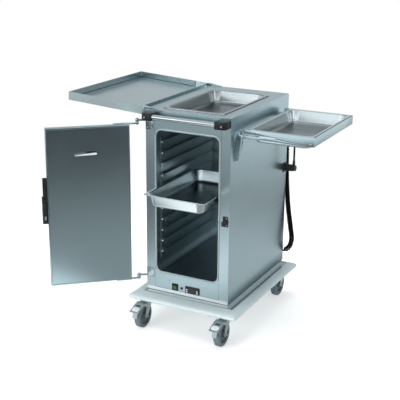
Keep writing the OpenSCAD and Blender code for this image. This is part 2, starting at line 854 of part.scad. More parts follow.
// Keeper on the right post: a foot with its screws and a catch for the roller
module keeper() {
    catch_y = roller_y + roller_d / 2 + 1;
    color(black) {
        box([keeper_x0, front_y - plate_t, keeper_z], [keeper_x0 + keeper_w, front_y, keeper_z + keeper_h]);
        box([keeper_x0 - 5, catch_y, roller_z - 2], [keeper_x0 + 8, front_y, roller_z + roller_h + 2]);
        box([keeper_x0 + 8, front_y - 9, keeper_z + keeper_h / 2 - 6],
            [keeper_x0 + keeper_w, front_y, keeper_z + keeper_h / 2 + 6]);
    }
}

// Cabinet side of the door hinges: a plate on the post, an arm and the upper half of the barrel
module hinge_plates() {
    reach = [plate_x0 + 2 - hinge_x, front_y - plate_t / 2 - hinge_y];
    arm_l = norm(reach);
    color(steel) for (i = [0, 1]) {
        z = leaf_z[i] + barrel_h + gap;
        plate_z = i == 0 ? plate_low : plate_high;
        box([plate_x0, front_y - plate_t, plate_z],
            [plate_x0 + hinge_plate_w, front_y, plate_z + hinge_plate_h]);
        difference() {
            union() {
                rod_z(barrel_d, z, z + barrel_h, hinge_x, hinge_y);
                translate([hinge_x, hinge_y, z + 1]) rotate([0, 0, atan2(reach[1], reach[0])])
                    translate([0, -arm_t / 2, 0]) cube([arm_l, arm_t, barrel_h - 2]);
            }
            rod_z(pin_d + 2 * fit, z - cut, z + barrel_h + cut, hinge_x, hinge_y);
            box([hinge_x, front_y - plate_t / 2, z - cut], [0, back_y, z + barrel_h + cut]);
        }
    }
}

// Door side of the hinges: a strip along the door's edge and the lower half of the barrel
module hinge_leaves() {
    leaf_w = 22;
    leaf_y = door_y - door_t / 2;
    color(steel) at_door() for (i = [0, 1]) {
        z = leaf_z[i];
        difference() {
            union() {
                rod_z(barrel_d, z, z + barrel_h, hinge_x, hinge_y);
                box([door_x0, leaf_y - leaf_w / 2, z], [door_x0 + leaf_l, leaf_y + leaf_w / 2, z + leaf_t]);
                box([hinge_x, leaf_y - leaf_w / 4, z], [door_x0 + cut, leaf_y + leaf_w / 4, z + leaf_t]);
            }
            rod_z(pin_d, z - cut, z + barrel_h + cut, hinge_x, hinge_y);
        }
    }
}

// Pins fixed in the door's half of the barrels, with a head above and a foot below
module hinge_pins() {
    head = barrel_d - 4;
    color(bright_steel) at_door() for (z = leaf_z) {
        top = z + 2 * barrel_h + 2 * gap;
        rod_z(pin_d, z, top + 1, hinge_x, hinge_y);
        rod_z(head, top, top + 3, hinge_x, hinge_y);
        rod_z(head, z - 3, z, hinge_x, hinge_y);
    }
}

// Door skin: a pan with a flange turned in round the inner panel
module door_skin() {
    s = door_sheet;
    f = door_flange;
    y0 = door_y - door_t;
    color(bright_steel) at_door() difference() {
        box([door_x0, y0, door_z0], [door_x1, door_y, door_z1]);
        box([door_x0 + s, y0 + s, door_z0 + s], [door_x1 - s, door_y - s, door_z1 - s]);
        box([door_x0 + f, door_y - door_t / 2, door_z0 + f], [door_x1 - f, door_y + cut, door_z1 - f]);
    }
}

// Inner panel behind the flange, with a hole for the vent boss
module door_panel() {
    s = 2 * door_sheet;
    color(bright_steel) at_door() difference() {
        box([door_x0 + s, door_y - s, door_z0 + s], [door_x1 - s, door_y - door_sheet, door_z1 - s]);
        rod_y(vent_boss_d - 6, door_y - door_t, door_y + cut, vent_pivot[0], vent_pivot[1]);
    }
}

module door_insulation() {
    s = 2 * door_sheet;
    color(wool) at_door() difference() {
        box([door_x0 + s, door_y - door_t + door_sheet + slip, door_z0 + s],
            [door_x1 - s, door_y - s - slip, door_z1 - s]);
        rod_y(vent_boss_d, door_y - door_t / 2, door_y + cut, vent_pivot[0], vent_pivot[1]);
    }
}

// Latch body on the door's outer face, with a nose past its free edge and a slot for the bolt
module latch_body() {
    y1 = door_y - door_t;
    x0 = door_x1 - latch_over;
    x1 = door_x1 + latch_out;
    nose_y = roller_y - roller_d / 2 - 1;
    lug = latch_t / 2 - lever_t / 2;
    color(black) at_door() difference() {
        union() {
            box([x0, latch_front, latch_z], [x1, y1, latch_z + latch_h]);
            box([door_x1 + gap, y1 - cut, latch_z + 14], [x1, nose_y, latch_z + latch_h - 14]);
            for (x = [x0, x1 - 5])
                box([x, latch_front + lug / 2, latch_z + latch_h - cut],
                    [x + 5, y1 - gap, lever_pivot_z + 8]);
        }
        box([roller_x - 4 - bolt_travel, y1 - 6, roller_z + 3],
            [roller_x + 4, nose_y + cut, roller_z + roller_h - 3]);
        rod_x(lever_pin_d + 2 * fit, x0 - cut, x1 + cut, lever_y, lever_pivot_z);
    }
}

// Lever of the latch on its cross pin; it swings away from the door
module latch_lever() {
    x0 = door_x1 - latch_over + 5 + gap;
    x1 = door_x1 + latch_out - 5 - gap;
    color(black) at_door() {
        box([x0, lever_y - lever_t / 2, lever_pivot_z],
            [x1, lever_y + lever_t / 2, latch_z + latch_h + latch_lever_l]);
        rod_x(lever_t - 1, x0, x1, lever_y, lever_pivot_z);
        rod_x(lever_pin_d, x0 - 5, x1 + 5, lever_y, lever_pivot_z);
    }
}

// Bolt with its roller, which the lever draws towards the door
module latch_bolt() {
    y1 = door_y - door_t;
    color(bright_steel) at_door() {
        rod_z(roller_d, roller_z, roller_z + roller_h, roller_x, roller_y);
        box([roller_x - 3, y1 - 5, roller_z + 3 + gap],
            [roller_x + 3, roller_y, roller_z + roller_h - 3 - gap]);
    }
}

// Boss of the vent lever on the door's inner panel
module vent_boss() {
    y0 = door_y - door_sheet;
    color(black) at_door() difference() {
        union() {
            rod_y(vent_boss_d, y0, y0 + vent_boss_t, vent_pivot[0], vent_pivot[1]);
            rod_y(vent_boss_d - 6 - 2 * slip, y0 - 8, y0 + cut, vent_pivot[0], vent_pivot[1]);
            box([vent_pivot[0], y0, vent_pivot[1] + 2],
                [vent_pivot[0] + 42, y0 + vent_boss_t, vent_pivot[1] + 13]);
        }
        rod_y(vent_pin_d + 2 * fit, y0 - 4, y0 + vent_boss_t + cut, vent_pivot[0], vent_pivot[1]);
    }
}

// Tapered lever that turns on the boss
module vent_lever() {
    y0 = door_y - door_sheet + vent_boss_t + gap;
    x = vent_pivot[0];
    z = vent_pivot[1];
    color(bright_steel) at_door() {
        upright(y0, y0 + vent_t) {
            translate([x, z]) circle(9);
            polygon([[x, z - 9], [x + vent_l, z - 10], [x + vent_l, z - 5], [x, z + 9]]);
        }
        rod_y(vent_pin_d, door_y - door_sheet - 3, y0 + 1, x, z);
    }
}

module inner_pan() {
    y = front_y + pan_in - pan_drawn + pan_l / 2;
    color(bright_steel) translate([0, y, runner_z(runner_count_below) + pan_lip + gap]) pan();
}

module top_pan() {
    color(bright_steel) translate([0, -well_fwd, top_z + pan_lip + gap]) pan();
}

module side_pan() {
    color(bright_steel) translate([side_mid[0], side_mid[1], side_rim_z]) pan();
}

// Tray-shaped lid: floor, four walls notched for the cheeks, and ears on the pins
module lid() {
    z1 = lid_z0 + lid_h;
    notch = cheek_y - gap;
    color(bright_steel) at_lid() difference() {
        union() {
            box([lid_x0, -lid_half, lid_z0], [lid_x1, lid_half, z1]);
            for (side = [0, 1]) mirror([0, side, 0]) upright(lid_half - lid_t, lid_half) {
                translate(lid_pin) circle(lid_ear_r);
                translate([lid_pin[0], lid_pin[1] - 4]) square([lid_wall_in + 2, 20]);
            }
        }
        box([lid_x0 + lid_t, lid_t - lid_half, lid_z0 - cut],
            [lid_x1 - lid_t, lid_half - lid_t, z1 - lid_floor_t]);
        for (side = [0, 1]) mirror([0, side, 0]) {
            box([lid_x0 - cut, notch, lid_z0 - cut],
                [lid_x0 + lid_t + cut, lid_half - lid_t, lid_pin[1] + 14]);
            rod_y(lid_pin_d + 2 * fit, notch, lid_half + cut, lid_pin[0], lid_pin[1]);
        }
    }
}

// Sloping cheeks on the serving top that carry the lid's pins
module lid_cheeks() {
    foot = [cheek_in - half_w, cheek_in + cheek_l - half_w];
    color(steel) for (side = [0, 1]) mirror([0, side, 0]) difference() {
        upright(cheek_y, cheek_y + cheek_t) {
            translate(lid_pin) circle(lid_ear_r + 1);
            polygon([[lid_pin[0], lid_pin[1] + lid_ear_r + 1], [foot[1], top_z + 3], [foot[1], top_z],
                [foot[0], top_z], [lid_pin[0] + 4, lid_pin[1] - lid_ear_r]]);
        }
        rod_y(lid_pin_d, cheek_y - cut, cheek_y + cheek_t + cut, lid_pin[0], lid_pin[1]);
        box([-half_w, cheek_y - cut, top_z - 20], [0, lid_half, top_z]);
    }
}

module lid_pins() {
    y0 = cheek_y - 3;
    y1 = lid_half + gap;
    color(bright_steel) for (side = [0, 1]) mirror([0, side, 0]) {
        rod_y(lid_pin_d, y0, y1 + cut, lid_pin[0], lid_pin[1]);
        rod_y(lid_pin_d + 5, y1, y1 + 3, lid_pin[0], lid_pin[1]);
        rod_y(lid_pin_d + 5, y0 - 2, cheek_y, lid_pin[0], lid_pin[1]);
    }
}

module handle_tube() {
    x = half_w - bracket_w;
    seat = 30;
    color(bright_steel) difference() {
        rod_x(handle_d, -x - seat, x + seat, handle_y, handle_z);
        rod_x(handle_d - 4, -x - seat - cut, x + seat + cut, handle_y, handle_z);
    }
}

// Corner brackets with a blind seat for the tube and a round outer corner
module handle_brackets() {
    r = 22;
    x0 = half_w - bracket_w;
    x1 = half_w - 2;
    y0 = front_y - bracket_depth;
    z0 = handle_z - bracket_h / 2;
    seat = 30;
    color(black) for (side = [0, 1]) mirror([side, 0, 0]) difference() {
        translate([0, 0, z0]) linear_extrude(bracket_h) {
            translate([x0, y0 + r]) square([x1 - x0, bracket_depth - r]);
            translate([x0, y0]) square([x1 - x0 - r, r + 1]);
            translate([x1 - r, y0 + r]) circle(r);
        }
        rod_x(handle_d, x0 - cut, x0 + seat, handle_y, handle_z);
    }
}

// Gussets on the right side with the studs that the holder folds on
module side_gussets() {
    z1 = pivot[1] + 12;
    z0 = z1 - gusset_h;
    foot_w = 20;
    for (end = [0, 1]) {
        y = end == 0 ? frame_y0 - frame_t - gap : frame_y1 + frame_t + gap;
        way = end == 0 ? -1 : 1;
        color(steel) {
            upright(min(y, y + way * frame_t), max(y, y + way * frame_t))
                polygon([[half_w, z0], [half_w + 12, z0], [half_w + gusset_w, z1 - 34],
                    [half_w + gusset_w, z1], [half_w, z1]]);
            box([half_w, min(y, y + way * foot_w), z0], [half_w + frame_t, max(y, y + way * foot_w), z1]);
            stud_end = y - way * (frame_t + 2 * gap);
            head = [y + way * 2, y + way * (frame_t + 4)];
            rod_y(stud_d, min(y + way, stud_end), max(y + way, stud_end), pivot[0], pivot[1]);
            rod_y(stud_d + 6, min(head), max(head), pivot[0], pivot[1]);
        }
    }
}

// Folding frame: two cheeks, an outer bar with a ledge for the pan's rim, and a tie bar by the wall
module side_holder() {
    ledge_z = side_rim_z - pan_lip - gap;
    cheek_x0 = pivot[0] - 9;
    slot_x0 = half_w + gusset_w + slot_in;
    slot = [slot_x0, slot_x0 + slot_l];
    color(steel) difference() {
        union() {
            for (y = [frame_y0 - frame_t, frame_y1])
                box([cheek_x0, y, frame_z], [frame_x1 + frame_t, y + frame_t, frame_top]);
            box([frame_x1, frame_y0 - frame_t, frame_z],
                [frame_x1 + frame_t, frame_y1 + frame_t, frame_top]);
            box([frame_x1 - frame_ledge, frame_y0 - 1, ledge_z - frame_t],
                [frame_x1 + 1, frame_y1 + 1, ledge_z]);
            for (y = [frame_y0 - 1, frame_y1 - frame_ledge])
                box([side_x0 + 10, y, ledge_z - frame_t], [frame_x1 + 1, y + frame_ledge + 1, ledge_z]);
            box([pivot[0] + 9, frame_y0 - 1, pivot[1]], [pivot[0] + 12, frame_y1 + 1, pivot[1] + 22]);
        }
        rod_y(stud_d + 2 * fit, frame_y0 - frame_t - cut, frame_y1 + frame_t + cut, pivot[0], pivot[1]);
        for (y = [frame_y0 - frame_t - cut, frame_y1 - cut]) {
            box([slot[0], y, frame_z + 14], [slot[1], y + frame_t + 2 * cut, frame_z + 19]);
            rod_y(5, y, y + frame_t + 2 * cut, slot[1], frame_z + 16.5);
        }
    }
}

// Elbow gland on the back, its tapered relief pointing to the right
module cable_gland() {
    y = gland_mouth[1];
    z = gland_mouth[2];
    relief = 30;
    x1 = gland_mouth[0];
    color(black) {
        box([x1 - relief - 40, back_y, z - 19], [x1 - relief - 6, y + 17, z + 19]);
        rod_x(22, x1 - relief - 7, x1 - relief + 1, y, z);
        translate([x1 - relief, y, z]) rotate([0, 90, 0]) cylinder(d1 = 16, d2 = 9, h = relief);
    }
}

// Socket on the right side in which the plug is parked
module parking_socket() {
    x = half_w;
    color(black) translate([0, plug_mid[1], plug_mid[2]]) {
        box([x, -22, -24], [x + 3, 22, 24]);
        rod_x(plug_d + 6, x + 2, x + socket_t, 0, 0);
    }
}

// Right-angle plug with its tapered boot pointing up
module plug() {
    x0 = half_w + socket_t;
    x1 = x0 + plug_out;
    boot_foot = plug_mid[2] + plug_d / 2 - 5;
    color(black) {
        rod_x(plug_d, x0, x1 - 16, plug_mid[1], plug_mid[2]);
        rod_x(plug_d - 6, x1 - 17, x1, plug_mid[1], plug_mid[2]);
        translate([lead_foot[0], lead_foot[1], boot_foot])
            cylinder(d1 = 17, d2 = 9, h = lead_foot[2] - boot_foot);
    }
}

// Bent rod on the right side that the lead's arch hangs on
module cord_hook() {
    z = arch_z + arch_r - cord_d / 2 - gap - hook_d / 2;
    reach = (arch_mid[0] - half_w) / hook_way[0];
    foot_y = arch_mid[1] - reach * hook_way[1];
    color(steel) {
        box([half_w, foot_y - hook_foot / 2, z - hook_foot / 2],
            [half_w + hook_t, foot_y + hook_foot / 2, z + hook_foot / 2]);
        difference() {
            translate([arch_mid[0], arch_mid[1], z]) rotate([0, 0, atan2(hook_way[1], hook_way[0])]) {
                rod_x(hook_d, -reach, hook_past, 0, 0);
                rod_z(hook_d, 0, hook_tip, hook_past, 0);
                translate([hook_past, 0, 0]) sphere(d = hook_d);
            }
            box([0, 0, z - hook_foot], [half_w + hook_t / 2, back_y, z + hook_foot]);
        }
    }
}

// A smooth curve through the curls' route, and its length
function spline(p, i, t) = let (
    a = p[max(i - 1, 0)],
    b = p[i],
    c = p[i + 1],
    d = p[min(i + 2, len(p) - 1)]
) 0.5 * (2 * b + (c - a) * t + (2 * a - 5 * b + 4 * c - d) * t * t + (3 * b - a - 3 * c + d) * t * t * t);
curl_steps = 12;
curl_axis = [for (i = [0 : len(curl_route) - 2], k = [0 : curl_steps - 1])
    spline(curl_route, i, k / curl_steps), gland_mouth];
function lengths(p, i = 0, sum = 0, out = []) = i == len(p) ? out :
    let (now = i == 0 ? 0 : sum + norm(p[i] - p[i - 1])) lengths(p, i + 1, now, concat(out, [now]));
curl_lengths = lengths(curl_axis);
curl_length = curl_lengths[len(curl_lengths) - 1];
curl_table = [for (axis = [0 : 2])
    [for (i = [0 : len(curl_axis) - 1]) [curl_lengths[i], curl_axis[i][axis]]]];
function axis_at(s) = [for (axis = [0 : 2]) lookup(s, curl_table[axis])];

// The pitch narrows evenly from the top to the gland, so the way along the axis follows from the turns
pitch_change = (curl_pitch_end - curl_pitch_top) / curl_length;
curl_turns = ln(curl_pitch_end / curl_pitch_top) / pitch_change;
ring_count = floor(curl_turns * curl_rings);
function way_at(ring) = curl_pitch_top / pitch_change * (exp(ring / curl_rings * pitch_change) - 1);
function ease(t) = let (u = max(0, min(1, t))) u * u * (3 - 2 * u);
function radius_at(s) = curl_r * ease(s / curl_ramp) * ease((curl_length - cord_d - s) / curl_ramp);
function unit(v) = v / norm(v);

// Middle of the cord: the lead, the arch over the hook and the curls
arch_step = 15;
arch_end = curl_route[0];
arch_mid = [(lead_foot[0] + arch_end[0]) / 2, (lead_foot[1] + arch_end[1]) / 2];
arch_way = [lead_foot[0] - arch_mid[0], lead_foot[1] - arch_mid[1]] / arch_r;
hook_way = unit([-arch_way[1], arch_way[0]]);
lead = concat([for (z = [lead_foot[2] : 23 : arch_z - 1]) [lead_foot[0], lead_foot[1], z]],
    [for (a = [0 : arch_step : 179])
        concat(arch_mid + arch_r * cos(a) * arch_way, [arch_z + arch_r * sin(a)])]);
side_ref = [0, 1, 0];
function curl_out(ring) = let (
    s = way_at(ring),
    along = unit(axis_at(s + 0.5) - axis_at(s - 0.5)),
    across = unit(cross(along, side_ref)),
    turn = ring * 360 / curl_rings
) cos(turn) * across + sin(turn) * cross(along, across);
curls = concat([for (ring = [0 : ring_count])
    axis_at(way_at(ring)) + radius_at(way_at(ring)) * curl_out(ring)], [gland_mouth]);
cord_mid = concat(lead, curls);
cord_out = concat([for (p = lead) unit(cross([0, 0, -1], side_ref))],
    [for (ring = [0 : ring_count]) curl_out(ring)], [curl_out(ring_count)]);
cord_last = len(cord_mid) - 1;
cord_ends = [[0, 0, 1], [-1, 0, 0]];
function cord_along(i) = i == 0 ? cord_ends[0] : i == cord_last ? cord_ends[1] :
    unit(cord_mid[i + 1] - cord_mid[i - 1]);
function cord_ring(i) = let (
    along = cord_along(i),
    first = unit(cord_out[i] - (cord_out[i] * along) * along),
    second = cross(along, first)
) [for (k = [0 : cord_sides - 1]) let (a = k * 360 / cord_sides)
    cord_mid[i] + cord_d / 2 * (cos(a) * first + sin(a) * second)];

// Least gap between points of the cord that lie further apart along it than a few diameters
cord_lengths = lengths(cord_mid);
cord_apart = 2.5 * cord_d;
function cord_gap() = min([for (i = [0 : cord_last - 1], j = [i + 1 : min(i + 24, cord_last)])
    cord_lengths[j] - cord_lengths[i] < cord_apart ? cord_apart :
        norm(cord_mid[i] - cord_mid[j])]) - cord_d;

module curly_cord() {
    points = [for (i = [0 : cord_last]) each cord_ring(i)];
    sides = [for (i = [0 : cord_last - 1], k = [0 : cord_sides - 1]) let (
        a = i * cord_sides + k,
        b = i * cord_sides + (k + 1) % cord_sides
    ) each [[a, b, a + cord_sides], [b, b + cord_sides, a + cord_sides]]];
    foot = [for (k = [1 : cord_sides - 2]) [0, k + 1, k]];
    base = cord_last * cord_sides;
    head = [for (k = [1 : cord_sides - 2]) [base, base + k, base + k + 1]];
    echo("curls", curl_turns, "least gap between turns", cord_gap(), "length", cord_lengths[cord_last]);
    color(black) polyhedron(points, [for (face = concat(sides, foot, head)) [face[2], face[1], face[0]]]);
}

base_platform();
bumper();
plinth();
castor_plates();
outer_shell();
front_frame();
top_plate();
well_tub();
inner_liner();
runners();
insulation();
heater_pads();
control_panel();
front_screws();
switch_bezel();
rocker_switch();
pilot_lamp();
thermostat();
thermostat_key(0);  // thermostat_key_1
thermostat_key(1);  // thermostat_key_2
thermostat_key(2);  // thermostat_key_3
thermostat_key(3);  // thermostat_key_4
keeper();
opening_seal();
hinge_plates();
hinge_leaves();
hinge_pins();
door_skin();
door_panel();
door_insulation();
latch_body();
latch_lever();
latch_bolt();
vent_boss();
vent_lever();
inner_pan();
top_pan();
side_pan();
lid();
lid_cheeks();
lid_pins();
handle_tube();
handle_brackets();
side_gussets();
side_holder();
cable_gland();
parking_socket();
plug();
curly_cord();
cord_hook();
castor_fork(castor_spots[0]);  // castor_fork_fl
castor_fork(castor_spots[1]);  // castor_fork_fr
castor_fork(castor_spots[2]);  // castor_fork_rl
castor_fork(castor_spots[3]);  // castor_fork_rr
castor_wheel(castor_spots[0]);  // castor_wheel_fl
castor_wheel(castor_spots[1]);  // castor_wheel_fr
castor_wheel(castor_spots[2]);  // castor_wheel_rl
castor_wheel(castor_spots[3]);  // castor_wheel_rr
brake_pedal(castor_spots[0]);  // brake_pedal_left
brake_pedal(castor_spots[1]);  // brake_pedal_right
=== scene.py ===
"""Looks of the mobile hot cupboard: steel, pans, wheels, controls, curly cord and a plain studio."""

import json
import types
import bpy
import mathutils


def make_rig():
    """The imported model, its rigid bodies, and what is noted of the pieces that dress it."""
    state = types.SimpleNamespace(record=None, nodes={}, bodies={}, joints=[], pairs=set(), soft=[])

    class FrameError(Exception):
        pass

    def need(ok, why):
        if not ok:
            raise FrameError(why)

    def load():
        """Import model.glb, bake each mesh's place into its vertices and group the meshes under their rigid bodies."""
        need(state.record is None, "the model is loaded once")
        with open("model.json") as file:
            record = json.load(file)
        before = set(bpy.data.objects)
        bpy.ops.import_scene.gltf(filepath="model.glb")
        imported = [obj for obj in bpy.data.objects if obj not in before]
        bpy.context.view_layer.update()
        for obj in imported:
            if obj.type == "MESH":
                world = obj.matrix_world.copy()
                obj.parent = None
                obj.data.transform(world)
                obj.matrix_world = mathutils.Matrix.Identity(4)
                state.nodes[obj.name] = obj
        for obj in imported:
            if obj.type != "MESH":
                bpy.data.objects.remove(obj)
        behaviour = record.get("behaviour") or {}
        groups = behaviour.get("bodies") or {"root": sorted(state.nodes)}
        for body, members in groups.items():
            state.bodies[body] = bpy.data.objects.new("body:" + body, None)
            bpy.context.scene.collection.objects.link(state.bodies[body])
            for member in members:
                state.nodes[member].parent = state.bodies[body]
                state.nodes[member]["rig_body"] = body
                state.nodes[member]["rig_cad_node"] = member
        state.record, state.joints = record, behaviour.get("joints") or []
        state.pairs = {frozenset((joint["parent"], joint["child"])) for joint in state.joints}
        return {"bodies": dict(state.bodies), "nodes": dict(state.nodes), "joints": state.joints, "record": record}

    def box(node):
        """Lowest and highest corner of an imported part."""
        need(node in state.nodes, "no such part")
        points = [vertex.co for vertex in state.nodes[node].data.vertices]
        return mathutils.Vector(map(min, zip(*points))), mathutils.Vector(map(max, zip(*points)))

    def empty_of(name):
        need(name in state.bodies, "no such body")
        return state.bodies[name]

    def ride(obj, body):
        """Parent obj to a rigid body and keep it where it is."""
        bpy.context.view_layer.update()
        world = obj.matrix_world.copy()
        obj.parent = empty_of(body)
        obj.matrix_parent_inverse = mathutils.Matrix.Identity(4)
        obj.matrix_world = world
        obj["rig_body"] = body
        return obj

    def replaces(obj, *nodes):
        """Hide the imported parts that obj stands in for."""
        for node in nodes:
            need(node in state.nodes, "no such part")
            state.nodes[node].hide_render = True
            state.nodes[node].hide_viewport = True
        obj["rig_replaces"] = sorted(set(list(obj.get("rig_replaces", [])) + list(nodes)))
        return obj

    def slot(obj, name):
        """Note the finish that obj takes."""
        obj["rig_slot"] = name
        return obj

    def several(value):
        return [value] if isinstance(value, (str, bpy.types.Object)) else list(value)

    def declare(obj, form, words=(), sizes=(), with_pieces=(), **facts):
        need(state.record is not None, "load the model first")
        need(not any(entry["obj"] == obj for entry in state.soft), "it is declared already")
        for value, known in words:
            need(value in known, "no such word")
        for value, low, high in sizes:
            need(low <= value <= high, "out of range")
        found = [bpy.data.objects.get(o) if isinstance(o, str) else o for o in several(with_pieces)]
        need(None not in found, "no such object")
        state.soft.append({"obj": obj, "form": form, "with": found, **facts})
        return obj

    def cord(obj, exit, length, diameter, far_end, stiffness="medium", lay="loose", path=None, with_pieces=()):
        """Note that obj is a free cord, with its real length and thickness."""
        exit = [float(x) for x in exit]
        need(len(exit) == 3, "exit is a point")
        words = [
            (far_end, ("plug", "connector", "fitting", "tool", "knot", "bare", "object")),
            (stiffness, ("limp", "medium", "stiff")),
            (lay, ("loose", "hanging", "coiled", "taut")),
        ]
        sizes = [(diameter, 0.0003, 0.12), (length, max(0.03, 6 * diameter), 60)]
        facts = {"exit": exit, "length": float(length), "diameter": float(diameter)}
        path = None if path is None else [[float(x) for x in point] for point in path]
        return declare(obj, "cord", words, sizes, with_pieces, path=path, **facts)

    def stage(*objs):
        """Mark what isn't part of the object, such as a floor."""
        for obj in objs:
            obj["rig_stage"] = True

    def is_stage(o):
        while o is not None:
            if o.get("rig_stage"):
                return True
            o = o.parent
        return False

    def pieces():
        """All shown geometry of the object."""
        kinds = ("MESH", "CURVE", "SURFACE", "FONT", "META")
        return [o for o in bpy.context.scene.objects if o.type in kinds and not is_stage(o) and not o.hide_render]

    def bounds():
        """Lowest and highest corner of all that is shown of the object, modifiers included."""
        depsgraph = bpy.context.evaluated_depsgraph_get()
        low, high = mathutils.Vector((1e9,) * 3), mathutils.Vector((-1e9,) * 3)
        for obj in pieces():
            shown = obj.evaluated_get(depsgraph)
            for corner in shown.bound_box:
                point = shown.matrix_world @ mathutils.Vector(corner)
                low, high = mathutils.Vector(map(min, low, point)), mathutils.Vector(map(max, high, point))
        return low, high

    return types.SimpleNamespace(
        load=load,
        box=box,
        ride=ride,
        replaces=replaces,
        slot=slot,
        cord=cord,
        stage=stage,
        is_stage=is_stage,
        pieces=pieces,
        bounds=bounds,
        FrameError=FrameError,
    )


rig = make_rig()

bl_info = {
    "name": "Hot cupboard",
    "version": (1, 0, 0),
    "blender": (4, 5, 0),
    "location": "View3D > Sidebar > Hot cupboard",
    "description": "Dresses the packed hot cupboard and sets it in a plain studio",
    "category": "Object",
}

import json
import math

import bmesh
import bpy
from mathutils import Matrix, Vector

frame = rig.load()
NODES = frame["nodes"]
CAD_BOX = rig.bounds()
BODIES = frame["record"]["behaviour"]["bodies"]
BODY_OF = {node: body for body, nodes in BODIES.items() for node in nodes}
SLOT_OF = {row["node"]: row["material_slot"] for row in frame["record"]["subparts"]}
CORNERS = ("fl", "fr", "rl", "rr")


def colour_property(name, description, default):
    """A colour to choose in the panel."""
    return bpy.props.FloatVectorProperty(
        name=name, description=description, subtype="COLOR", size=3, default=default, min=0, max=1)


def length_property(name, description, default, low, high):
    """A length to set in the panel."""
    return bpy.props.FloatProperty(
        name=name, description=description, default=default, unit="LENGTH", min=low, max=high)


class CupboardFinish(bpy.types.PropertyGroup):
    """Colours of the cupboard's finishes."""

    panel: colour_property("Panels", "Steel of the cabinet's skin", (0.48, 0.60, 0.64))
    door: colour_property("Door", "Smoother steel of the door", (0.47, 0.59, 0.63))
    liner: colour_property("Liner", "Steel of the inner chamber and its runners", (0.46, 0.545, 0.575))
    pan: colour_property("Pans", "Steel of the pans", (0.70, 0.76, 0.78))
    bright: colour_property("Polished steel", "Plinth, pins and screws", (0.78, 0.81, 0.83))
    zinc: colour_property("Zinc", "Forks, plates and pedals of the castors", (0.52, 0.60, 0.62))
    bumper: colour_property("Bumper", "Pale plastic of the bumper", (0.62, 0.71, 0.72))
    black: colour_property("Black plastic", "Brackets, latch, controls and plug", (0.012, 0.013, 0.015))
    tyre: colour_property("Tyres", "Rubber of the tyres", (0.145, 0.185, 0.205))
    seal: colour_property("Seal", "Silicone round the door opening", (0.34, 0.41, 0.43))
    lit: colour_property("Lit switch", "Green of the lit rocker", (0.06, 0.42, 0.05))


class CupboardSize(bpy.types.PropertyGroup):
    """Sizes of what is added to the cupboard's solids."""

    edge: length_property("Moulded edge", "Edge radius of the black plastic", 0.0022, 0.0002, 0.005)
    fold: length_property("Folded edge", "Edge radius of the folded steel", 0.0009, 0.0002, 0.003)
    hem: length_property("Lid hem", "Thickness of the hem on the lid's walls", 0.005, 0.002, 0.01)
    fillet: length_property("Pan fillet", "Radius between a pan's wall and floor", 0.016, 0.004, 0.03)
    cord: length_property("Cord", "Diameter of the curly cord", 0.0102, 0.004, 0.011)
    curl: length_property("Curl", "Radius of an upper curl to the cord's middle", 0.0076, 0.004, 0.01)


class Value:
    """A shader socket with operators, so that a finish is written as an expression."""

    def __init__(self, finish, socket):
        self.finish = finish
        self.socket = socket

    def maths(self, operation, first, second):
        return self.finish.node("ShaderNodeMath", {"operation": operation}, {0: first, 1: second})

    def __add__(self, other):
        return self.maths("ADD", self, other)

    def __radd__(self, other):
        return self.maths("ADD", other, self)

    def __sub__(self, other):
        return self.maths("SUBTRACT", self, other)

    def __rsub__(self, other):
        return self.maths("SUBTRACT", other, self)

    def __mul__(self, other):
        return self.maths("MULTIPLY", self, other)

    def __rmul__(self, other):
        return self.maths("MULTIPLY", other, self)

    def __truediv__(self, other):
        return self.maths("DIVIDE", self, other)

    def above(self, limit):
        return self.maths("GREATER_THAN", self, limit)


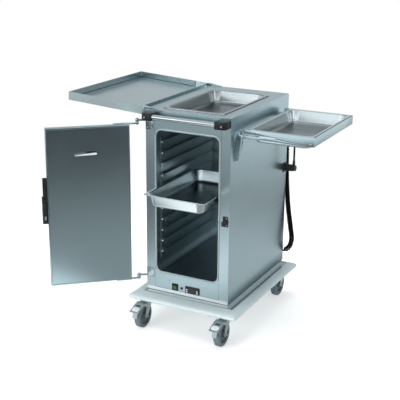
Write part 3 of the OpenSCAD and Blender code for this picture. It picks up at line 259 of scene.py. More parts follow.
class Finish:
    """A material and the nodes that make it."""

    def __init__(self, name, tree=None):
        self.material = None
        if tree is None:
            self.material = bpy.data.materials.new("finish_" + name)
            self.material.use_nodes = True
            tree = self.material.node_tree
        self.tree = tree
        self.tree.nodes.clear()

    def node(self, kind, settings, sockets, out=0):
        """One node with its settings and the values or links of its sockets."""
        made = self.tree.nodes.new(kind)
        for key, value in settings.items():
            if key == "stops":
                self.set_stops(made.color_ramp, value)
            else:
                setattr(made, key, value)
        for key, value in sockets.items():
            if isinstance(value, Value):
                self.tree.links.new(value.socket, made.inputs[key])
            else:
                made.inputs[key].default_value = value
        return Value(self, made.outputs[out]) if made.outputs else None

    def set_stops(self, ramp, stops):
        while len(ramp.elements) < len(stops):
            ramp.elements.new(0.5)
        for element, (place, colour) in zip(ramp.elements, stops):
            element.position = place
            element.color = (*colour, 1)

    def coordinates(self, scale=(1, 1, 1), centre=(0, 0, 0)):
        """Object coordinates from a centre, stretched by a scale."""
        place = self.node("ShaderNodeTexCoord", {}, {}, "Object")
        moved = self.node("ShaderNodeVectorMath", {"operation": "SUBTRACT"}, {0: place, 1: centre})
        return self.node("ShaderNodeMapping", {}, {"Vector": moved, "Scale": scale})

    def part_of(self, vector, letter):
        """One number of a vector."""
        return self.node("ShaderNodeSeparateXYZ", {}, {"Vector": vector}, letter)

    def noise(self, scale, detail=3.0, size=1.0, roughness=0.55):
        return self.node("ShaderNodeTexNoise", {}, {
            "Vector": self.coordinates(scale), "Scale": size, "Detail": detail, "Roughness": roughness})

    def mix(self, factor, low, high):
        return self.node("ShaderNodeMix", {"data_type": "RGBA"}, {0: factor, 6: low, 7: high}, 2)

    def smooth(self, value, low, high):
        return self.node("ShaderNodeMapRange", {"interpolation_type": "SMOOTHSTEP"}, {
            "Value": value, "From Min": low, "From Max": high})

    def ramp(self, factor, stops):
        return self.node("ShaderNodeValToRGB", {"stops": stops}, {"Fac": factor})

    def bump(self, height, strength, distance, edge=None):
        sockets = {"Height": height, "Strength": strength, "Distance": distance}
        if edge:
            sockets["Normal"] = self.node("ShaderNodeBevel", {"samples": 4}, {"Radius": edge})
        return self.node("ShaderNodeBump", {}, sockets)

    def principled(self, **sockets):
        """The surface from its sockets, whose names have underscores for spaces."""
        named = {key.replace("_", " "): value for key, value in sockets.items()}
        surface = self.node("ShaderNodeBsdfPrincipled", {}, named)
        self.node("ShaderNodeOutputMaterial", {}, {"Surface": surface})


def tint(colour, factor):
    """A colour made darker or lighter, as a node takes it."""
    return (*[min(1.0, part * factor) for part in colour], 1)


def brushed_steel(name, colour, rough, grain, streak=0.10, foot=None):
    """Steel sheet with a fine grain along one way, wiping clouds, folded edges and maybe painted shade that darkens it
    towards its foot.
    """
    finish = Finish(name)
    lines = finish.noise(grain, 3.0)
    clouds = finish.noise((5, 5, 5), 4.0)
    shade = 0.6 * lines + 0.4 * clouds
    steel = finish.mix(shade, tint(colour, 1 - streak), tint(colour, 1 + streak))
    # Painted shade: below the foot heights the steel fades to a dark copy of its colour. This stands in for the shaded
    # deck and bumper that the skin's bottom reflects.
    if foot:
        place = finish.node("ShaderNodeTexCoord", {}, {}, "Object")
        height = finish.part_of(place, "Z")
        steel = finish.mix(finish.smooth(height, *foot), tint(colour, 0.38), steel)
    finish.principled(
        Base_Color=steel,
        Metallic=1.0,
        Roughness=rough + 0.10 * (clouds - 0.5) + streak * (lines - 0.5),
        Normal=finish.bump(lines, 0.06, 0.0004, 0.0008))


def polished_steel(name, colour, rough):
    """Bright steel with faint wiping marks."""
    finish = Finish(name)
    clouds = finish.noise((18, 18, 18), 4.0)
    marks = finish.noise((60, 400, 60), 2.0)
    finish.principled(
        Base_Color=finish.mix(clouds, tint(colour, 0.94), tint(colour, 1.05)),
        Metallic=1.0,
        Roughness=rough + 0.08 * (clouds - 0.5) + 0.05 * (marks - 0.5),
        Normal=finish.bump(marks, 0.03, 0.0002, 0.0006))


def zinc_plate(name, colour):
    """Plated steel with the crystals of the zinc and dull patches."""
    finish = Finish(name)
    crystals = finish.node("ShaderNodeTexVoronoi", {"feature": "F1"}, {
        "Vector": finish.coordinates(), "Scale": 160.0}, "Distance")
    dull = finish.noise((25, 25, 25), 4.0)
    finish.principled(
        Base_Color=finish.mix(0.5 * crystals + 0.5 * dull, tint(colour, 0.80), tint(colour, 1.15)),
        Metallic=0.9,
        Roughness=0.30 + 0.22 * dull,
        Normal=finish.bump(crystals, 0.08, 0.0004, 0.0008))


def moulded_plastic(name, colour, rough, grain, wear):
    """Moulded plastic with a fine texture, rubbed patches and a slight sheen."""
    finish = Finish(name)
    texture = finish.noise((1, 1, 1), 2.0, grain)
    rubbed = finish.noise((14, 14, 14), 4.0)
    patches = finish.ramp(rubbed, [(0.45, (0, 0, 0)), (0.75, (1, 1, 1))])
    finish.principled(
        Base_Color=finish.mix(wear * patches, tint(colour, 0.95), tint(colour, 1.5)),
        Roughness=rough + 0.12 * (rubbed - 0.5),
        Specular_IOR_Level=0.4,
        Normal=finish.bump(texture, 0.10, 0.0003, 0.0006))


def bumper_plastic(name, colour):
    """Pale plastic with scuffs along its nose and a little dust."""
    finish = Finish(name)
    scuffs = finish.noise((9, 9, 160), 4.0)
    dust = finish.noise((7, 7, 7), 5.0)
    fine = finish.noise((1, 1, 1), 2.0, 700.0)
    finish.principled(
        Base_Color=finish.mix(0.5 * scuffs + 0.5 * dust, tint(colour, 0.88), tint(colour, 1.10)),
        Roughness=0.36 + 0.2 * (dust - 0.3),
        Normal=finish.bump(fine, 0.06, 0.0003, 0.001))


def rubber(name, colour, rough, dust_colour, shine):
    """Rubber with a matt grain and dust in its low places."""
    finish = Finish(name)
    grain = finish.noise((1, 1, 1), 2.0, 800.0)
    dust = finish.noise((22, 22, 22), 5.0)
    patches = finish.ramp(dust, [(0.5, (0, 0, 0)), (0.8, (1, 1, 1))])
    finish.principled(
        Base_Color=finish.mix(0.6 * patches, tint(colour, 1), (*dust_colour, 1)),
        Roughness=rough + 0.15 * (dust - 0.5),
        Specular_IOR_Level=shine,
        Normal=finish.bump(grain, 0.15, 0.0003))


def lit_plastic(name, colour, strength, centre):
    """Clear coloured plastic that glows most before its lamp."""
    finish = Finish(name)
    away = finish.node("ShaderNodeVectorMath", {"operation": "LENGTH"}, {
        0: finish.coordinates((90, 20, 90), centre)}, "Value")
    cloudy = finish.noise((300, 300, 300), 2.0)
    glow = finish.ramp(away + 0.3 * (cloudy - 0.5), [
        (0.1, colour), (0.4, [part * 0.3 for part in colour]), (0.8, [part * 0.03 for part in colour])])
    finish.principled(
        Base_Color=finish.mix(cloudy, tint(colour, 0.08), tint(colour, 0.14)),
        Roughness=0.18 + 0.1 * cloudy,
        Emission_Color=glow,
        Emission_Strength=strength,
        Coat_Weight=0.4 + 0.2 * cloudy)


def mineral_wool(name, colour):
    """Felted wool of the insulation."""
    finish = Finish(name)
    fibres = finish.noise((40, 40, 260), 5.0)
    finish.principled(
        Base_Color=finish.mix(fibres, tint(colour, 0.7), tint(colour, 1.2)),
        Roughness=0.9 + 0.1 * fibres,
        Normal=finish.bump(fibres, 0.4, 0.002))


def display_glass(name):
    """Dark window with faint unlit bars behind it."""
    finish = Finish(name)
    bars = finish.node("ShaderNodeTexWave", {"bands_direction": "X"}, {
        "Vector": finish.coordinates(), "Scale": 40.0, "Distortion": 0.0}, "Fac")
    smears = finish.noise((120, 120, 120), 3.0)
    finish.principled(
        Base_Color=finish.mix(bars.above(0.8) * 0.5, (0.010, 0.014, 0.016, 1), (0.05, 0.07, 0.075, 1)),
        Roughness=0.30 + 0.12 * smears,
        Coat_Weight=0.05 * smears)


def finishes():
    """Makes the cupboard's materials from the colours in the panel."""
    look = bpy.context.scene.cupboard_finish
    for name, colour, rough, grain, more in (
            ("stainless_panel", look.panel, 0.30, (6, 6, 420), {}),
            # The sides' steel, with painted shade darkening it towards the bottom.
            ("stainless_side", look.panel, 0.30, (6, 6, 420), {"foot": (0.185, 0.26)}),
            ("stainless_door", look.door, 0.20, (5, 5, 380), {"streak": 0.05}),
            ("stainless_top", look.panel, 0.27, (380, 5, 5), {}),
            ("stainless_liner", look.liner, 0.34, (5, 5, 300), {}),
            ("stainless_lid", (0.58, 0.67, 0.69), 0.25, (5, 380, 5), {}),
            # A darker copy of the lid's steel for the hem: painted shade on the lid's inner walls.
            ("lid_wall", (0.33, 0.41, 0.44), 0.25, (5, 380, 5), {}),
            ("stainless_rail", tint(look.bright, 1.1)[:3], 0.22, (5, 5, 380), {}),
            ("hardware_steel", look.panel, 0.26, (8, 300, 300), {})):
        brushed_steel(name, colour, rough, grain, **more)
    # The darker copies of the pan steel below are painted shade. One is for the floor and left inner wall of the
    # holder pan. Two are for the well pan, which is darker all over and darkest at its floor and left wall.
    for name, colour, shade, rough in (
            ("pan_steel", look.pan, 1.0, 0.22),
            ("pan_floor", look.pan, 0.52, 0.22),
            ("well_pan_steel", look.pan, 0.66, 0.20),
            ("well_pan_floor", look.pan, 0.40, 0.20),
            ("tube_steel", look.pan, 0.95, 0.18),
            ("polished_steel", look.bright, 1.0, 0.14)):
        polished_steel(name, tint(colour, shade)[:3], rough)
    for name, colour, rough, grain, wear in (
            ("satin_bright", (0.72, 0.76, 0.78), 0.35, 600.0, 0.1),
            ("black_plastic", look.black, 0.36, 900.0, 0.5),
            ("wheel_core", (0.10, 0.12, 0.13), 0.45, 900.0, 0.5),
            ("key_white", (0.75, 0.77, 0.78), 0.30, 1200.0, 0.1),
            ("shadow_gap", (0.03, 0.035, 0.04), 0.7, 900.0, 0.5)):
        moulded_plastic(name, colour, rough, grain, wear)
    for name, colour, rough, dust_colour, shine in (
            ("seal_rubber", look.seal, 0.5, (0.42, 0.46, 0.47), 0.5),
            ("cord_rubber", (0.005, 0.005, 0.006), 0.6, (0.012, 0.012, 0.013), 0.08),
            ("wheel_rubber", look.tyre, 0.62, (0.16, 0.18, 0.19), 0.5),
            ("heater_foil", (0.30, 0.08, 0.04), 0.5, (0.25, 0.12, 0.08), 0.5)):
        rubber(name, colour, rough, dust_colour, shine)
    zinc_plate("zinc", look.zinc)
    bumper_plastic("bumper_plastic", look.bumper)
    mineral_wool("wool", (0.62, 0.52, 0.28))
    display_glass("display_glass")
    lit_plastic("switch_green", look.lit, 0.6, centre_of("rocker_switch"))
    lit_plastic("lamp_red", (0.10, 0.004, 0.006), 0.2, centre_of("pilot_lamp"))


def material(name):
    """A finish by name; the first call makes them all."""
    if "finish_" + name not in bpy.data.materials:
        finishes()
    return bpy.data.materials["finish_" + name]


def set_only(obj, finish):
    """Gives an object one material on all its faces."""
    obj.data.materials.clear()
    obj.data.materials.append(material(finish))


def linked(name, mesh):
    obj = bpy.data.objects.new(name, mesh)
    bpy.context.scene.collection.objects.link(obj)
    return obj


def from_bmesh(name, shape, finish, smooth_angle=35):
    """A piece from a bmesh, smooth except at its sharp edges."""
    bmesh.ops.remove_doubles(shape, verts=shape.verts, dist=1e-6)
    bmesh.ops.recalc_face_normals(shape, faces=shape.faces)
    mesh = bpy.data.meshes.new(name)
    shape.to_mesh(mesh)
    shape.free()
    mesh.shade_smooth()
    mesh.set_sharp_from_angle(angle=math.radians(smooth_angle))
    obj = linked(name, mesh)
    set_only(obj, finish)
    return obj


def applied(obj):
    """Turns an object's modifiers into its plain mesh."""
    graph = bpy.context.evaluated_depsgraph_get()
    mesh = bpy.data.meshes.new_from_object(obj.evaluated_get(graph), depsgraph=graph)
    obj.modifiers.clear()
    obj.data = mesh


def settle(obj, body, slot, *nodes):
    """Sets a piece on its body, names its finish and hides the solids that it stands for."""
    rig.ride(obj, body)
    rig.slot(obj, slot)
    if nodes:
        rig.replaces(obj, *nodes)
    return obj


def softened(node, name, radius, finish, segments=3):
    """A copy of a solid with rounded edges, in the solid's place."""
    shape = bmesh.new()
    shape.from_mesh(NODES[node].data)
    bmesh.ops.remove_doubles(shape, verts=shape.verts, dist=1e-5)
    bmesh.ops.dissolve_limit(
        shape, angle_limit=math.radians(0.5), use_dissolve_boundaries=False,
        verts=shape.verts, edges=shape.edges)
    mesh = bpy.data.meshes.new(name)
    shape.to_mesh(mesh)
    shape.free()
    obj = linked(name, mesh)
    bevel = obj.modifiers.new("rounded", "BEVEL")
    bevel.width = radius
    bevel.segments = segments
    bevel.limit_method = "ANGLE"
    bevel.angle_limit = math.radians(40)
    bevel.miter_outer = "MITER_ARC"
    applied(obj)
    obj.data.shade_smooth()
    obj.data.set_sharp_from_angle(angle=math.radians(32))
    set_only(obj, finish)
    return settle(obj, BODY_OF[node], SLOT_OF[node], node)


def arc(middle, radius, start, end, steps):
    """Points of an arc in two dimensions."""
    points = []
    for step in range(steps + 1):
        turn = math.radians(start + (end - start) * step / steps)
        points.append((middle[0] + radius * math.cos(turn), middle[1] + radius * math.sin(turn)))
    return points


def rounded_ring(half_w, half_l, radius, steps):
    """Points of a rectangle with round corners, in two dimensions."""
    points = []
    for sign_x, sign_y, start in ((1, 1, 0), (-1, 1, 90), (-1, -1, 180), (1, -1, 270)):
        middle = (sign_x * (half_w - radius), sign_y * (half_l - radius))
        points += arc(middle, radius, start, start + 90, steps)
    return points


def stepped(section, half_u, half_v, radius, steps, place):
    """Rings of a rounded rectangle, set in and raised by each step of a section."""
    rings = []
    for inset, rise in section:
        flat = rounded_ring(half_u - inset, half_v - inset, radius - inset, steps)
        rings.append([place(u, v, rise) for u, v in flat])
    return rings


def loft(rings, cap_first=False, cap_last=False, closed=False):
    """Skin over rings with the same number of points."""
    shape = bmesh.new()
    rows = [[shape.verts.new(point) for point in ring] for ring in rings]
    pairs = list(zip(rows, rows[1:]))
    if closed:
        pairs.append((rows[-1], rows[0]))
    for row, after in pairs:
        for i in range(len(row)):
            j = (i + 1) % len(row)
            shape.faces.new((row[i], row[j], after[j], after[i]))
    if cap_first:
        shape.faces.new(list(reversed(rows[0])))
    if cap_last:
        shape.faces.new(rows[-1])
    return shape


def slabs(corners):
    """Thin boxes between pairs of corners."""
    shape = bmesh.new()
    for low, high in corners:
        made = bmesh.ops.create_cube(shape, size=1)
        bmesh.ops.scale(shape, vec=[b - a for a, b in zip(low, high)], verts=made["verts"])
        bmesh.ops.translate(shape, vec=[(a + b) / 2 for a, b in zip(low, high)], verts=made["verts"])
    return shape


def turned_open(point, pivot, axis, angle):
    """A point of the shut door or lid as it lies when it stands open."""
    turn = Matrix.Rotation(math.radians(angle), 4, axis)
    return turn @ (Vector(point) - Vector(pivot)) + Vector(pivot)


class RepeatTree:
    """Geometry nodes that set one small shape on every point of a mesh."""

    def __init__(self, name, *finish_labels):
        self.group = bpy.data.node_groups.new(name, "GeometryNodeTree")
        face = self.group.interface
        face.new_socket("Geometry", in_out="INPUT", socket_type="NodeSocketGeometry")
        kinds = {"Turn": "NodeSocketRotation"} | {label: "NodeSocketMaterial" for label in finish_labels}
        self.names = {}
        for label, kind in kinds.items():
            self.names[label] = face.new_socket(label, in_out="INPUT", socket_type=kind).identifier
        face.new_socket("Geometry", in_out="OUTPUT", socket_type="NodeSocketGeometry")
        self.start = self.group.nodes.new("NodeGroupInput")

    def given(self, label):
        return self.start.outputs[label]

    def node(self, kind, settings, sockets, out=0):
        made = self.group.nodes.new(kind)
        for key, value in settings.items():
            setattr(made, key, value)
        for key, value in sockets.items():
            if isinstance(value, bpy.types.NodeSocket):
                self.group.links.new(value, made.inputs[key])
            else:
                made.inputs[key].default_value = value
        return made.outputs[out]

    def joined(self, *shapes):
        made = self.group.nodes.new("GeometryNodeJoinGeometry")
        for shape in shapes:
            self.group.links.new(shape, made.inputs[0])
        return made.outputs[0]

    def painted(self, shape, label):
        return self.node("GeometryNodeSetMaterial", {}, {
            "Geometry": shape, "Material": self.given(label)})

    def moved(self, shape, offset, scale=(1, 1, 1)):
        return self.node("GeometryNodeTransform", {}, {
            "Geometry": shape, "Translation": offset, "Scale": scale})

    def dome(self, segments, rings, height):
        """A smooth ball, one unit across and pressed flat to a height."""
        ball = self.node("GeometryNodeMeshUVSphere", {}, {
            "Segments": segments, "Rings": rings, "Radius": 0.5})
        flat = self.moved(ball, (0, 0, 0), (1, 1, height))
        return self.node("GeometryNodeSetShadeSmooth", {}, {"Geometry": flat})

    def finish(self, shape):
        """Sets the shape on the points, sized by each point's own size."""
        size = self.node("GeometryNodeInputNamedAttribute", {"data_type": "FLOAT"}, {"Name": "size"})
        placed = self.node("GeometryNodeInstanceOnPoints", {}, {
            "Points": self.given("Geometry"), "Instance": shape, "Rotation": self.given("Turn"),
            "Scale": size})
        real = self.node("GeometryNodeRealizeInstances", {}, {"Geometry": placed})
        ends = self.group.nodes.new("NodeGroupOutput")
        self.group.links.new(real, ends.inputs[0])
        return self


def screw_tree():
    """Round-headed cross screw, one unit across its head."""
    tree = RepeatTree("screw_heads", "Steel", "Recess")
    dome = tree.dome(20, 10, 0.52)
    bars = []
    for size in ((0.46, 0.11, 0.06), (0.11, 0.46, 0.06)):
        bar = tree.node("GeometryNodeMeshCube", {}, {"Size": size})
        bars.append(tree.moved(bar, (0, 0, 0.235)))
    return tree.finish(tree.joined(
        tree.painted(dome, "Steel"), tree.painted(tree.joined(*bars), "Recess")))


def stud_tree():
    """Domed stud, one unit across."""
    tree = RepeatTree("domed_studs", "Steel")
    return tree.finish(tree.painted(tree.dome(14, 8, 0.7), "Steel"))


def nut_tree():
    """Hexagon nut with the end of its bolt, one unit across the nut's corners."""
    tree = RepeatTree("axle_nuts", "Steel")
    nut = tree.node("GeometryNodeMeshCylinder", {}, {"Vertices": 6, "Radius": 0.5, "Depth": 0.34})
    bolt = tree.node("GeometryNodeMeshCylinder", {}, {"Vertices": 20, "Radius": 0.26, "Depth": 0.30})
    shape = tree.joined(tree.moved(nut, (0, 0, 0.17)), tree.moved(bolt, (0, 0, 0.36)))
    return tree.finish(tree.painted(shape, "Steel"))


def rib_tree():
    """Rounded ring round a sleeve, one unit across at its middle."""
    tree = RepeatTree("sleeve_ribs", "Plastic")
    circles = []
    for points, radius in ((24, 0.5), (8, 0.075)):
        circles.append(tree.node("GeometryNodeCurvePrimitiveCircle", {"mode": "RADIUS"}, {
            "Resolution": points, "Radius": radius}))
    tube = tree.node("GeometryNodeCurveToMesh", {}, {"Curve": circles[0], "Profile Curve": circles[1]})
    tube = tree.node("GeometryNodeSetShadeSmooth", {}, {"Geometry": tube})
    return tree.finish(tree.painted(tube, "Plastic"))


def repeated(name, tree, points, sizes, turn, finishes_by_label, body, slot, *nodes):
    """A piece made of one small shape on every point, as a plain mesh on its body."""
    mesh = bpy.data.meshes.new(name)
    mesh.from_pydata(points, [], [])
    size = mesh.attributes.new("size", "FLOAT", "POINT")
    size.data.foreach_set("value", sizes)
    obj = linked(name, mesh)
    maker = obj.modifiers.new("repeats", "NODES")
    maker.node_group = tree.group
    maker[tree.names["Turn"]] = turn
    for label, finish in finishes_by_label.items():
        maker[tree.names[label]] = material(finish)
    applied(obj)
    settle(obj, body, slot, *nodes)


def centre_of(node):
    low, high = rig.box(node)
    return (low + high) / 2


def solids_of(node):
    """Lowest and highest corners of each separate solid of a node."""
    shape = bmesh.new()
    shape.from_mesh(NODES[node].data)
    bmesh.ops.remove_doubles(shape, verts=shape.verts, dist=1e-5)
    left = set(shape.verts)
    found = []
    while left:
        group = [left.pop()]
        for vert in group:
            for edge in vert.link_edges:
                other = edge.other_vert(vert)
                if other in left:
                    left.remove(other)
                    group.append(other)
        low = Vector([min(vert.co[k] for vert in group) for k in range(3)])
        high = Vector([max(vert.co[k] for vert in group) for k in range(3)])
        found.append((low, high))
    shape.free()
    return found


class CUPBOARD_OT_stage(bpy.types.Operator):
    """Pale floor, soft studio light and the camera at the photograph's angle"""

    bl_idname = "cupboard.stage"
    bl_label = "Stage"

    CAMERA_AT = (1.9071, -3.9002, 1.9883)
    CAMERA_YAW = 27.336
    CAMERA_PITCH = 17.829
    CAMERA_ROLL = 0.523
    CAMERA_LENS = 79.99
    FLOOR_REACH = 12
    FLOOR_BEFORE = ((0.06, 0.45), (0.078, 1.25), (0.112, 1.45), (0.25, 0.22), (0.42, 0.30), (0.65, 0.95))
    FLOOR_LEFT = ((0.09, 0.30), (0.165, 0.16), (0.25, 0.09), (0.31, 0.12), (0.40, 0.36), (0.65, 0.9))
    FLOOR_RIGHT = ((0.11, 0.41), (0.19, 0.28), (0.25, 0.13), (0.38, 0.05), (0.60, 0.06))
    FLOOR_BEHIND = ((0.10, 0.64), (0.18, 0.31), (0.29, 0.72), (0.38, 0.82), (0.65, 0.95))
    WALL_FRONT = (
        (0.0, 1.3), (0.22, 1.3), (0.32, 0.7), (0.5, 0.6), (0.7, 0.35), (0.85, 0.45), (1.0, 1.3))
    WALL_BACK = ((0.0, 0.75), (0.34, 0.60), (0.5, 0.35), (0.8, 0.5), (1.0, 1.3))
    SOFT_BOXES = (
        ("top_light", (-0.6, 0.1, 4.2), (0, 0, 0.6), 3.0, 3.0, 105, False),
        ("key_light", (-1.72, -3.1, 2.4), (0, 0, 1.2), 0.12, 2.4, 3, True),
        ("front_fill", (-1.2, -4.5, 1.6), (0, 0, 0.4), 3.0, 2.0, 110, False),
        ("right_light", (4.2, -1.4, 2.6), (0, 0, 0.7), 1.6, 2.0, 20, True))

    def execute(self, context):
        self.camera(context.scene)
        self.floor()
        self.lights()
        self.walls(context.scene)
        context.scene.view_settings.view_transform = "Standard"
        return {"FINISHED"}

    def camera(self, scene):
        yaw = math.radians(self.CAMERA_YAW)
        pitch = math.radians(self.CAMERA_PITCH)
        roll = math.radians(self.CAMERA_ROLL)
        flat = math.cos(pitch)
        ahead = Vector((-math.sin(yaw) * flat, math.cos(yaw) * flat, -math.sin(pitch)))
        level = Vector((math.cos(yaw), math.sin(yaw), 0))
        upright = level.cross(ahead)
        right = math.cos(roll) * level + math.sin(roll) * upright
        up = math.cos(roll) * upright - math.sin(roll) * level
        turn = Matrix((right, up, -ahead)).transposed().to_4x4()
        lens = bpy.data.cameras.new("camera")
        lens.lens = self.CAMERA_LENS
        lens.sensor_width = 36
        lens.sensor_fit = "HORIZONTAL"
        lens.clip_end = 100
        camera = linked("camera", lens)
        camera.matrix_world = Matrix.Translation(self.CAMERA_AT) @ turn
        scene.camera = camera

    def floor(self):
        shape = bmesh.new()
        bmesh.ops.create_grid(shape, x_segments=1, y_segments=1, size=40)
        mesh = bpy.data.meshes.new("floor")
        shape.to_mesh(mesh)
        shape.free()
        floor = linked("floor", mesh)
        finish = Finish("floor_paper")
        camera_ray, glossy_ray = self.ray_kinds(finish)
        place = finish.coordinates((1, 1, 0))
        away = finish.node("ShaderNodeVectorMath", {"operation": "LENGTH"}, {0: place}, "Value")
        paper = finish.node("ShaderNodeBsdfDiffuse", {}, {"Color": (0.82, 0.82, 0.82, 1)})
        glow = self.shining(finish, (1, 1, 1, 1), 0.45 * camera_ray)
        near = finish.node("ShaderNodeAddShader", {}, {0: paper, 1: glow})
        white = self.shining(finish, (1, 1, 1, 1), camera_ray)
        far = finish.smooth(away, 1.3, 2.6)
        seen = finish.node("ShaderNodeMixShader", {}, {0: far, 1: near, 2: white})
        reflected = self.shining(finish, self.studio_floor(finish, away), 1.0)
        both = finish.node("ShaderNodeMixShader", {}, {0: glossy_ray, 1: seen, 2: reflected})
        finish.node("ShaderNodeOutputMaterial", {}, {"Surface": both})
        floor.data.materials.append(finish.material)
        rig.stage(floor)

    def shining(self, finish, colour, strength):
        return finish.node("ShaderNodeEmission", {}, {"Color": colour, "Strength": strength})

    def studio_floor(self, finish, away):
        """What the steel sees of the floor: bright before the front, darker beside it, pale far off."""
        reach = away / self.FLOOR_REACH
        sides = (self.FLOOR_BEFORE, self.FLOOR_LEFT, self.FLOOR_RIGHT, self.FLOOR_BEHIND)
        before, left, right, behind = [self.greys(finish, reach, side) for side in sides]
        spot = finish.node("ShaderNodeTexCoord", {}, {}, "Object")
        x = finish.part_of(spot, "X")
        y = finish.part_of(spot, "Y")
        middle = finish.mix(finish.smooth(x, -0.8, -0.4), left, before)
        front = finish.mix(finish.smooth(x, -0.1, 0.1), middle, right)
        return finish.mix(finish.smooth(y, -0.5, 0.5), front, behind)

    def greys(self, finish, factor, stops):
        """A ramp in the studio's cool grey."""
        cool = [(place, (0.94 * level, level, 1.02 * level)) for place, level in stops]
        return finish.ramp(factor, cool)

    def ray_kinds(self, finish):
        """Whether a ray comes from the camera, and whether from a reflection."""
        path = finish.tree.nodes.new("ShaderNodeLightPath")
        return [Value(finish, path.outputs[kind]) for kind in ("Is Camera Ray", "Is Glossy Ray")]

    def lights(self):
        for name, place, aim, width, height, power, reflected in self.SOFT_BOXES:
            lamp = bpy.data.lights.new(name, "AREA")
            lamp.shape = "RECTANGLE"
            lamp.size = width
            lamp.size_y = height
            lamp.energy = power
            obj = linked(name, lamp)
            obj.location = place
            obj.rotation_euler = (Vector(aim) - Vector(place)).to_track_quat("-Z", "Y").to_euler()
            obj.visible_glossy = reflected

    def walls(self, scene):
        """White behind the part, and the room's walls in what the steel reflects."""
        world = bpy.data.worlds.new("studio")
        world.use_nodes = True
        scene.world = world
        finish = Finish("studio", world.node_tree)
        camera_ray = self.ray_kinds(finish)[0]
        way = finish.node("ShaderNodeTexCoord", {}, {}, "Generated")
        height = finish.part_of(way, "Z")
        front = self.greys(finish, height, self.WALL_FRONT)
        back = self.greys(finish, height, self.WALL_BACK)
        walls = finish.mix(finish.smooth(finish.part_of(way, "Y"), -0.3, 0.3), front, back)
        air = finish.node("ShaderNodeBackground", {}, {"Color": walls, "Strength": 1.0})
        white = finish.node("ShaderNodeBackground", {}, {"Color": (1, 1, 1, 1), "Strength": 1.0})
        both = finish.node("ShaderNodeMixShader", {}, {0: camera_ray, 1: air, 2: white})
        finish.node("ShaderNodeOutputWorld", {}, {"Surface": both})


def between(steps, s):
    """Value at a way along, in a straight line from one step to the next."""
    for (start, first), (end, last) in zip(steps, steps[1:]):
        if s <= end:
            return first + (last - first) * (s - start) / (end - start)
    return steps[-1][1]


